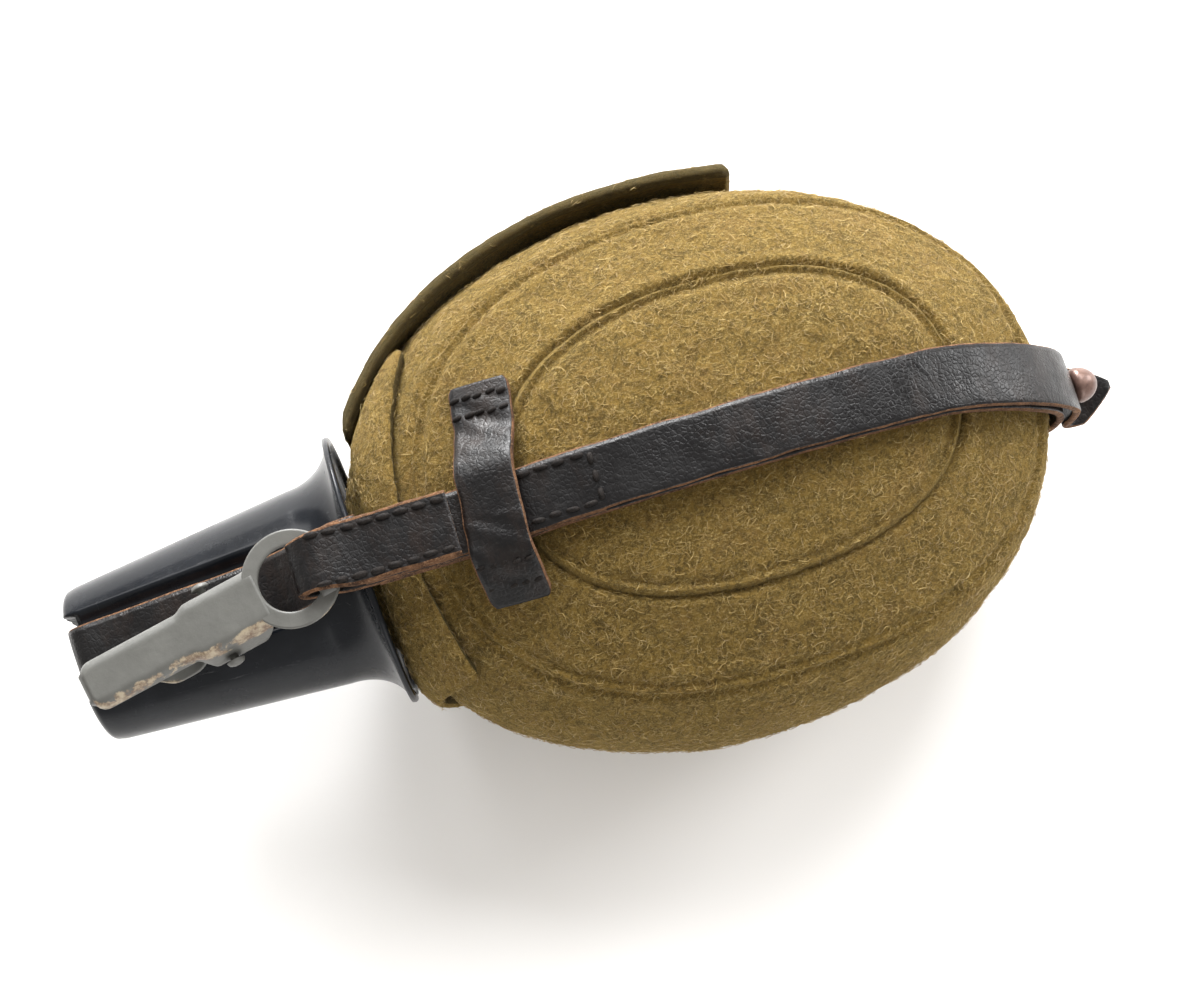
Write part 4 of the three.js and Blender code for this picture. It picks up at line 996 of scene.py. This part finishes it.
def makeCupStrap():
    rise = lift + 0.52

    def floorZ(d):
        return float(cupRadius(np.array(float(d)))) - cup["depth"] + rise

    end = -cup["length"] + cup["endDepth"] - rise
    fade = cup["length"] - cup["flare"] - 8
    upper = [(2.9, rimStrapZ), (0.5, rimStrapZ), (-3, rimStrapZ - 0.6), (-8, rimStrapZ - 5)]
    upper += [(d - cup["length"], floorZ(d)) for d in (fade, fade - 12, fade - 24, fade - 36, 9)]
    upper += [(end + 4, floorZ(4) + 0.5), (end + 0.8, floorZ(1) + 0.1), (end - 0.3, floorZ(1) - 4), (end, 5)]
    path = relax(resample(catmull(upper + [(x, -z) for x, z in reversed(upper)], 8), 1.2), 3)
    line = np.stack([path[:, 0], np.full(len(path), -0.8), path[:, 1]], axis=1)
    line = fromCup(line)
    hint = np.array([-math.sin(cupTurn), math.cos(cupTurn), 0.0])
    piece = sweepFlat("cup_strap_bight", line[::-1], hint, strap["width"], [leather, rawEdge], seed=17.0)
    strapJoin(piece, "cup", "cup_strap")


def makeTailKeeper():
    x = buckle["x"] + 17
    inner = -(float(heightAt(np.array(x))) + strap["gap"])
    outer = inner - 2 * layer - strap["thickness"] * 0.1 - 1.6
    wide = strap["width"] / 2 + 1.2
    line = []
    for i in range(96):
        a = 2 * math.pi * i / 96
        y = wide * math.copysign(abs(math.cos(a)) ** 0.35, math.cos(a))
        z = (inner + outer) / 2 - 0.2 + (inner - outer) / 2 * math.copysign(abs(math.sin(a)) ** 0.4,
                                                                            math.sin(a))
        line.append((x, y - 4.2, z))
    line = np.array(line)
    normalHint = np.array([1.0, 0.0, 0.0])
    section, edge = flatSection(3.0, 0.6, 0.35, 8, 3)
    tangent = np.roll(line, -1, axis=0) - np.roll(line, 1, axis=0)
    tangent /= np.linalg.norm(tangent, axis=1, keepdims=True)
    out = np.cross(tangent, normalHint)
    loops = line[:, None, :] + normalHint * section[None, :, 0:1] + out[:, None, :] * section[None, :, 1:2]
    piece = loftPiece("tail_loop", loops, [leather, rawEdge], edge, closedAlong=True)
    strapJoin(piece, "canteen", "tail_keeper")


hookLoopPath = makeHookLoop()
makeBackStrap()
makeHarness()
makeTail()
makeCupStrap()
makeTailKeeper()
print("straps done")


# The keepers, sewn to the felt on both sides of the straps

keeper = {"width": 15.5, "thickness": 2.2, "length": 54.0, "x": -50.5, "shiftY": 1.5, "turn": -4.0}
frontKeeper = {"x": 50.0, "length": 50.0}


def keeperLine(length, stack, x, sideways):
    y = np.linspace(-length / 2, length / 2, 90)
    clear = strap["width"] / 2 + 3.2
    centre = float(strapY(x)) - sideways
    rest = backZ(np.full_like(y, x), y + sideways) + strap["gap"] + keeper["thickness"] / 2 + 0.5
    away = np.maximum(0, np.abs(y - centre) - clear)
    raised = float(heightAt(np.array(x))) + stack + strap["gap"] + keeper["thickness"] / 2 - away * 0.9
    z = np.maximum(rest, raised)
    z = relax(np.stack([y, z], axis=1), 34)[:, 1]
    return np.stack([np.zeros_like(y), y, z], axis=1)


def placeKeeper(points, x, sideways, turn, side):
    high = float(heightAt(np.array(x)))
    slope = (float(heightAt(np.array(x + 4.0))) - float(heightAt(np.array(x - 4.0)))) / 8
    m = Matrix.Translation((x, sideways, high)) @ Matrix.Rotation(math.radians(turn), 4, "Z")
    m = m @ Matrix.Rotation(-math.atan(slope), 4, "Y") @ Matrix.Translation((0, 0, -high))
    m = np.array(m)
    out = points @ m[:3, :3].T + m[:3, 3]
    return out if side > 0 else out * np.array([1, 1, -1])


def makeKeeper(name, node, length, stack, x, sideways, turn, side, seed):
    line = keeperLine(length, stack, x, sideways)
    tangent = np.gradient(line, axis=0)
    tangent /= np.linalg.norm(tangent, axis=1, keepdims=True)
    across = np.array([-1.0, 0.0, 0.0])
    normal = np.cross(tangent, across)
    section, edge = flatSection(keeper["width"] / 2, keeper["thickness"] / 2, 0.7, 16, 4, 0.15)
    near = np.clip((length / 2 + 0.35 - np.abs(line[:, 1])) / 2.6, 0, 1)
    shape = 0.8 + 0.2 * np.sqrt(1 - (1 - near) ** 2)
    shape *= 1 - 0.06 * np.exp(-(line[:, 1] / 12) ** 2)
    loops = line[:, None, :] + across * (section[None, :, 0:1] * shape[:, None, None])
    loops = loops + normal[:, None, :] * section[None, :, 1:2]
    crease = 0.28 * np.sin((loops[..., 0] * 0.55 + loops[..., 1] * 0.9) + 1.5 * noiseAt(loops, 9.0, seed))
    away = np.abs(np.abs(loops[..., 1]) - 15) < 8
    loops[..., 2] += np.where(section[None, :, 1] > 0, 1, 0) * crease * away * 0.8
    loops[..., 0] += 0.3 * noiseAt(loops, 6.0, seed + 2)
    loops = placeKeeper(loops, x, sideways, turn, side)
    if side < 0:
        loops = loops[:, ::-1]
        edge = edge[::-1]
    piece = loftPiece(name, loops, [leather, rawEdge], edge)
    strapJoin(piece, "canteen", node)
    return line


keeperTop = makeKeeper("back_keeper_band", "back_keeper", keeper["length"], 3 * layer + 0.6, keeper["x"],
                       keeper["shiftY"], keeper["turn"], 1, 21.0)
makeKeeper("front_keeper_band", "front_keeper", frontKeeper["length"], layer + 0.6, frontKeeper["x"],
           0, 0, -1, 23.0)
print("keepers done")


# Stitches: short waxed capsules lying along a line

stitch = {"length": 3.7, "radius": 0.74, "gap": 0.55}
stitchRandom = random.Random(5)


def capsule(start, end, radius, up, sides=8, steps=6):
    start, end, up = (np.asarray(v, float) for v in (start, end, up))
    direction = end - start
    length = np.linalg.norm(direction)
    direction /= length
    side = np.cross(direction, up)
    side /= np.linalg.norm(side)
    top = np.cross(side, direction)
    verts = []
    for i in range(steps + 1):
        share = i / steps
        swell = math.sqrt(max(0.06, 1 - abs(2 * share - 1) ** 3))
        sink = -0.8 * radius * abs(2 * share - 1) ** 3.5
        middle = start + direction * length * share + top * sink
        for k in range(sides):
            a = 2 * math.pi * k / sides
            verts.append(middle + (side * math.cos(a) + top * math.sin(a)) * radius * swell)
    return np.array(verts).reshape(steps + 1, sides, 3)


def stitchesPiece(name, runs, bodyName, material):
    verts = []
    faces = []
    for start, end, radius, up in runs:
        loops = capsule(start, end, radius, up)
        base = len(verts)
        rows, columns = loops.shape[:2]
        verts.extend(loops.reshape(-1, 3))
        faces.extend(gridFaces(rows, columns, base))
        faces.append(tuple(base + k for k in reversed(range(columns))))
        faces.append(tuple(base + (rows - 1) * columns + k for k in range(columns)))
    piece = addMesh(name, np.array(verts), faces, [material])
    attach(piece, bodyName)
    return piece


def rowOfStitches(line, ups, length, gap, radius, jitter=0.25):
    seg = np.linalg.norm(np.diff(line, axis=0), axis=1)
    total = np.concatenate([[0], np.cumsum(seg)])
    runs = []
    at = gap / 2
    while at + length < total[-1]:
        wobble = [np.array([stitchRandom.uniform(-jitter, jitter) for _ in range(3)]) for _ in range(2)]
        a = np.array([np.interp(at, total, line[:, k]) for k in range(3)]) + wobble[0] * (1, 1, 0)
        b = np.array([np.interp(at + length, total, line[:, k]) for k in range(3)]) + wobble[1] * (1, 1, 0)
        up = np.array([np.interp(at, total, ups[:, k]) for k in range(3)])
        runs.append((a, b, radius * stitchRandom.uniform(0.85, 1.12), up))
        at += length + gap * stitchRandom.uniform(0.8, 1.25)
    return runs


def topOfStrap(path, y, rise):
    d = np.gradient(path, axis=0)
    d /= np.linalg.norm(d, axis=1, keepdims=True)
    flip = np.sign(d[:, :1])
    up = np.stack([-d[:, 1], d[:, 0]], axis=1) * flip
    place = path + up * rise
    line = np.stack([place[:, 0], np.full(len(path), y), place[:, 1]], axis=1)
    return line, np.stack([up[:, 0], np.zeros(len(path)), up[:, 1]], axis=1)


def makeStrapStitches():
    runs = []
    edgeIn = strap["width"] / 2 - 2.0
    half = strap["thickness"] / 2
    upper = [(x, z) for x, z in hookLoopPath if z > barZ + 1.0 and barX - 1 < x < hookLoop["topEnd"] + 0.5]
    loopTop = resample(upper, 1.0)
    loopTop = loopTop[np.argsort(loopTop[:, 0])]
    onBack = backPath(2 * layer, barX + 10, -27.5, 30)
    onBack = onBack[onBack[:, 0] > hookLoop["topEnd"] + 1.2]
    for side in (-1, 1):
        for path in (loopTop, onBack):
            line, ups = topOfStrap(path, -4.2 + side * edgeIn, half + 0.32)
            runs += rowOfStitches(line, ups, stitch["length"], stitch["gap"], stitch["radius"])
    line, ups = topOfStrap(onBack[-3:], -4.2, half + 0.25)
    for k in range(3):
        y = -4.2 + (k - 1) * 4.4
        end = line[-1] * (1, 0, 1)
        runs.append((end + (0, y - 1.7, 0), end + (0.3, y + 1.7, 0), stitch["radius"], ups[-1]))
    stitchesPiece("strap_stitches", runs, "canteen", threadDark)


def makeKeeperStitches():
    runs = []
    for side in (-1, 1):
        for row in (0, 1):
            y = side * (keeper["length"] / 2 - 3.2 - row * 4.6)
            at = np.argmin(np.abs(keeperTop[:, 1] - y))
            z = keeperTop[at, 2] + keeper["thickness"] / 2 + 0.3
            tilt = (keeperTop[min(at + 2, 89), 2] - keeperTop[max(at - 2, 0), 2]) / (
                keeperTop[min(at + 2, 89), 1] - keeperTop[max(at - 2, 0), 1])
            for k in range(5):
                x = (k - 2) * 2.95 + stitchRandom.uniform(-0.25, 0.25)
                lean = stitchRandom.uniform(-0.5, 0.5)
                a = np.array([x - 1.4, y + lean - 0.4, z - tilt * 0.4])
                b = np.array([x + 1.4, y + lean + 0.4, z + tilt * 0.4])
                a, b = placeKeeper(np.array([a, b]), keeper["x"], keeper["shiftY"], keeper["turn"], 1)
                runs.append((a, b, 0.68 * stitchRandom.uniform(0.85, 1.15), (0, -tilt, 1)))
    stitchesPiece("keeper_stitches", runs, "canteen", threadDark)


seamStitch = {"length": 2.2, "gap": 2.0, "radius": 0.22, "sunk": 0.05}


def makeSeamStitches():
    ring = np.vstack([ringGrid[-1], ringGrid[-1][:1]])
    normal = gridNormals(ringGrid)[-1]
    normal = np.vstack([normal, normal[:1]])
    line = ring - normal * seamStitch["sunk"]
    runs = rowOfStitches(line, normal, seamStitch["length"], seamStitch["gap"], seamStitch["radius"], 0.12)
    stitchesPiece("seam_stitches", runs, "canteen", seamThread)


makeStrapStitches()
makeKeeperStitches()
makeSeamStitches()
print("stitches done")


# The stud at the base

def makeStud():
    y = float(strapY(95.5))
    start = body["halfLength"] + lift + 2 * layer + strap["thickness"] / 2 - 1.0
    outline = [(start, 0.01), (start, 3.3), (start + 0.6, 4.3), (start + 1.4, 4.6)]
    for i in range(1, 13):
        a = math.radians(90 * i / 12)
        outline.append((start + 1.4 + 5.2 * math.sin(a), max(0.01, 4.6 * math.cos(a))))
    piece = turnedPiece("stud_dome", outline, [studLacquer], 64, (0, y, 4.0))
    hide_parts("base_stud")
    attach(piece, "canteen")


makeStud()


# The snap hook: a pressed plate with turned-down sides, an eye, a pin and a sprung gate

hook = {"yaw": 11.2, "droop": 4.0, "plate": 1.4, "eyeCentre": 6.7, "ring": 9.8, "ringWidth": 4.0,
        "wide": 7.3, "narrow": 6.0, "wideTo": 32.5, "length": 61.8, "deep": 8.2, "shallow": 3.0, "nose": 12.3}


def fromHook(points):
    m = Matrix.Translation((barX, -4.2, barZ)) @ Matrix.Rotation(math.radians(hook["yaw"]), 4, "Z")
    m = np.array(m @ Matrix.Rotation(math.radians(-hook["droop"]), 4, "Y"))
    return np.asarray(points, float) @ m[:3, :3].T + m[:3, 3]


def setWear(piece, values):
    layerData = piece.data.attributes.new("wear", "FLOAT", "POINT")
    layerData.data.foreach_set("value", np.asarray(values, np.float32))


def hookPiece(name, loops, wear, closedAlong=False):
    piece = loftPiece(name, fromHook(loops), [hookPaint], closedAlong=closedAlong)
    setWear(piece, np.broadcast_to(wear, loops.shape[:2]).reshape(-1))
    return piece


# Half of the sheet's middle line across the hook, from the flange's edge to the middle of the plate
def channelLine(halfWidth, depth, lean, bend=1.9):
    points = []
    drop = max(depth, bend + 0.05)
    for t in np.linspace(0, 1, 7)[:-1]:
        points.append((-halfWidth - lean * (1 - t), -drop + (drop - bend) * t))
    for i in range(9):
        a = math.radians(180 - 90 * i / 8)
        points.append((-halfWidth + bend + bend * math.cos(a), -bend + bend * math.sin(a)))
    for t in np.linspace(0, 1, 8)[1:]:
        points.append(((-halfWidth + bend) * (1 - t), 0.0))
    return points


def makeHookPlate():
    loops = []
    wears = []
    us = np.concatenate([np.linspace(14.6, hook["wideTo"], 26), np.linspace(hook["wideTo"] + 0.3, 36.5, 10),
                         np.linspace(37.5, hook["length"] - 1.2, 26)])
    for u in us:
        step = float(smoothStep(np.array(u), hook["wideTo"] - 0.5, hook["wideTo"] + 3.0))
        start = float(smoothStep(np.array(u), 13.0, 20.0))
        half = hook["wide"] * (1 - step) + hook["narrow"] * step - 0.7
        half -= 1.9 * (1 - math.sqrt(max(0.0, 1 - max(0.0, (u - 57.9) / 2.9) ** 2)))
        depth = (hook["deep"] * (1 - step) + hook["shallow"] * step) * start
        lean = 1.5 * (1 - step) * start + 0.3 * step
        left = channelLine(half, depth, lean)
        line = np.array(left + [(-y, z) for y, z in reversed(left[:-1])])
        d = np.gradient(line, axis=0)
        d /= np.linalg.norm(d, axis=1, keepdims=True)
        n = np.stack([-d[:, 1], d[:, 0]], axis=1)
        outer = line + n * hook["plate"] / 2
        inner = line - n * hook["plate"] / 2
        tipA = (outer[0] + inner[0]) / 2 - d[0] * 0.45
        tipB = (outer[-1] + inner[-1]) / 2 + d[-1] * 0.45
        ring = np.vstack([outer, tipB[None], inner[::-1], tipA[None]])
        loops.append(np.stack([np.full(len(ring), -u), ring[:, 0], ring[:, 1]], axis=1))
        bendWear = np.exp(-((np.abs(line[:, 0]) - half + 0.4) / 0.85) ** 2) * (line[:, 1] > -3.0)
        bendWear = bendWear * np.where(line[:, 0] < 0, 1.7, 0.3)
        wears.append(np.concatenate([bendWear, [0.8], bendWear[::-1] * 0.3, [0.8]]))
    loops = np.array(loops)[:, ::-1]
    wears = np.array(wears)[:, ::-1]
    return hookPiece("hook_plate", loops, wears)


def makeHookEye():
    angle = np.linspace(0, 2 * np.pi, 96, endpoint=False)
    out = np.stack([np.cos(angle), np.sin(angle), np.zeros(96)], axis=1)
    section, _ = flatSection(hook["ringWidth"] / 2, hook["plate"] / 2 - 0.05, 0.5, 8, 4)
    line = np.array([-hook["eyeCentre"], 0, 0]) + out * hook["ring"]
    loops = line[:, None, :] + out[:, None, :] * section[None, :, 0:1]
    loops = loops + np.array([0, 0, 1.0]) * section[None, :, 1:2]
    edgeWear = np.abs(section[:, 0]) / (hook["ringWidth"] / 2)
    wear = np.broadcast_to(0.5 * edgeWear[::-1] ** 6, loops.shape[:2])
    return hookPiece("hook_eye", loops[:, ::-1], wear, closedAlong=True)


def makeHookBar():
    line = [(0, y, 0) for y in np.linspace(-7.6, 7.6, 8)]
    return flatBar("hook_bar", line, [4.2] * 8, hook["plate"], 0.2, (1.0, 0, 0))


def flatBar(name, line, widths, thickness, wearEdge=0.6, across=(0.0, 1.0, 0.0)):
    line = np.asarray(line, float)
    tangent = np.gradient(line, axis=0)
    tangent /= np.linalg.norm(tangent, axis=1, keepdims=True)
    across = np.array(across)
    normal = np.cross(tangent, across)
    unit, _ = flatSection(0.5, thickness / 2, 0.03, 10, 4)
    loops = []
    for i in range(len(line)):
        section, _ = flatSection(widths[i] / 2, thickness / 2, thickness * 0.42, 10, 4)
        loops.append(line[i] + across * section[:, 0:1] + normal[i] * section[:, 1:2])
    loops = np.array(loops)
    share = np.abs(unit[:, 0]) / 0.5
    return hookPiece(name, loops, np.broadcast_to(wearEdge * share ** 6, loops.shape[:2]))


def makeHookNose():
    end = hook["length"] - 0.7
    path = catmull([(-end + 3.0, 0, 0), (-end + 1.2, 0, -0.15), (-end, 0, -1.5), (-end, 0, -4),
                    (-end, 0, -hook["nose"] + 2.6), (-end + 0.3, 0, -hook["nose"] + 1.2),
                    (-end + 1.4, 0, -hook["nose"] + 0.5), (-end + 3.2, 0, -hook["nose"] + 0.6)], 5)
    return flatBar("hook_nose", path, [8.0] * len(path), hook["plate"], 0.25)


def makePin():
    half = hook["wide"] + 1.5 + 0.75
    head = [(half, 1.05), (half, 2.25), (half + 0.2, 2.25), (half + 0.9, 1.9), (half + 1.25, 1.0),
            (half + 1.3, 0.01)]
    outline = np.array([(-y, r) for y, r in reversed(head)] + head)
    angle = np.linspace(0, 2 * np.pi, 28, endpoint=False)
    loops = np.zeros((len(outline), 28, 3))
    loops[:, :, 1] = outline[:, 0:1]
    loops[:, :, 0] = outline[:, 1:2] * np.sin(angle) - 27.8
    loops[:, :, 2] = outline[:, 1:2] * np.cos(angle) - 6.4
    piece = hookPiece("hook_pin", loops, np.full(loops.shape[:2], 0.35))
    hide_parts("gate_pin")
    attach(piece, "snap_hook")


def makeGate():
    us = np.linspace(24.4, 59.8, 40)
    bulge = np.exp(-((us - 39.8) / 6.2) ** 4)
    widths = 8.6 + 6.2 * bulge
    lever = flatBar("gate_lever", [(-u, 0, -9.0 - 0.5 * b) for u, b in zip(us, bulge)], widths, 1.25, 0.7)
    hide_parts("snap_gate")
    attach(lever, "snap_gate")
    for side in (-1, 1):
        line = np.array([(-24.6 - 6.4 * t, side * 3.7, -6.2) for t in np.linspace(0, 1, 8)])
        section, _ = flatSection(2.6, 0.55, 0.4, 6, 3)
        flat = np.stack([np.zeros(len(section)), section[:, 1], section[:, 0]], axis=1)
        loops = line[:, None, :] + flat[None]
        ear = hookPiece("gate_ear_%s" % ("far" if side > 0 else "near"), loops[:, ::-1],
                        np.full(loops.shape[:2], 0.2))
        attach(ear, "snap_gate")


for hookPart in (makeHookPlate(), makeHookEye(), makeHookBar(), makeHookNose()):
    if hookPart.name == "hook_plate":
        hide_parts("snap_hook_body")
    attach(hookPart, "snap_hook")
makePin()
makeGate()
print("hook done")


# Parts kept from the solid model get their finish and smooth edges

keptFinish = {"flask_body": bareAluminium, "neck_thread": bareAluminium, "screw_cap": capPlastic,
              "cap_gasket": sealRubber, "buckle_frame": steelDull, "buckle_roller": steelDull,
              "buckle_prong": steelDull, "gate_spring": steelDull}
for number in (1, 2, 3):
    keptFinish["press_stud_post_%d" % number] = steelDull
    keptFinish["press_stud_cap_%d" % number] = steelDull
for node, material in keptFinish.items():
    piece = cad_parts[node]
    piece.data.materials.clear()
    piece.data.materials.append(material)
    piece.data.polygons.foreach_set("use_smooth", np.ones(len(piece.data.polygons), bool))
    piece.data.set_sharp_from_angle(angle=math.radians(35))
    edgeRound = piece.modifiers.new("edges", "BEVEL")
    edgeRound.width = 0.2 * mm
    edgeRound.segments = 2
    edgeRound.limit_method = "ANGLE"
    edgeRound.angle_limit = math.radians(40)
print("kept parts done")


# Camera, light and table

camera = {"target": (-26.459, -0.695, 0.041), "distance": 550.0, "elevation": 79.0, "azimuth": -14.816,
          "roll": -2.091, "lens": 64.644}


def makeCamera():
    e, a, roll = (math.radians(camera[k]) for k in ("elevation", "azimuth", "roll"))
    d = Vector((math.sin(a) * math.cos(e), -math.cos(a) * math.cos(e), math.sin(e)))
    right = (-d).cross(Vector((0, 0, 1))).normalized()
    up = right.cross(-d)
    right, up = right * math.cos(roll) + up * math.sin(roll), up * math.cos(roll) - right * math.sin(roll)
    data = bpy.data.cameras.new("camera")
    data.lens = camera["lens"]
    data.sensor_width = 36
    data.clip_start = 0.01
    eye = bpy.data.objects.new("camera", data)
    place = Vector(toRow(camera["target"])) + d * camera["distance"] * mm
    rotation = Matrix((right, up, d)).transposed().to_4x4()
    eye.matrix_world = Matrix.Translation(place) @ rotation
    bpy.context.scene.collection.objects.link(eye)
    bpy.context.scene.camera = eye


lights = {"key": {"at": (0.62, 0.95, 1.20), "size": 0.7, "power": 21},
          "wide": {"at": (-0.45, 1.25, 0.95), "size": 0.8, "power": 12},
          "back": {"at": (0.1, 1.6, 0.45), "size": 0.7, "power": 58},
          "side": {"at": (1.30, 0.35, 0.55), "size": 0.5, "power": 14},
          "fill": {"at": (0.2, -1.3, 0.45), "size": 0.8, "power": 6}}
studioGlow = 0.70


def makeLights():
    for name, look in lights.items():
        data = bpy.data.lights.new(name, "AREA")
        data.shape = "SQUARE"
        data.size = look["size"]
        data.energy = look["power"]
        lamp = bpy.data.objects.new(name, data)
        lamp.location = look["at"]
        lamp.rotation_euler = (Vector((0, 0, 0.04)) - lamp.location).to_track_quat("-Z", "Y").to_euler()
        bpy.context.scene.collection.objects.link(lamp)
    world = bpy.data.worlds.new("studio")
    world.use_nodes = True
    world.node_tree.nodes["Background"].inputs["Color"].default_value = (1, 0.965, 0.915, 1)
    world.node_tree.nodes["Background"].inputs["Strength"].default_value = studioGlow
    bpy.context.scene.world = world
    bpy.context.scene.view_settings.view_transform = "Standard"


def makeTable():
    m = Nodes("table_top")
    color = m.mix(m.ramp(m.noise(3, 3, 0.5), 0.3, 0.7), (0.91, 0.905, 0.90), (0.94, 0.935, 0.93))
    m.bump([(m.noise(400, 4, 0.5), 0.05, 0.0002)])
    material = m.finish(color, 0.7)
    mesh = bpy.data.meshes.new("table")
    mesh.from_pydata([(-4, -4, 0), (4, -4, 0), (4, 4, 0), (-4, 4, 0)], [], [(0, 1, 2, 3)])
    mesh.materials.append(material)
    table = bpy.data.objects.new("table", mesh)
    bpy.context.scene.collection.objects.link(table)


makeCamera()
makeLights()
makeTable()
print("camera, light and table done")
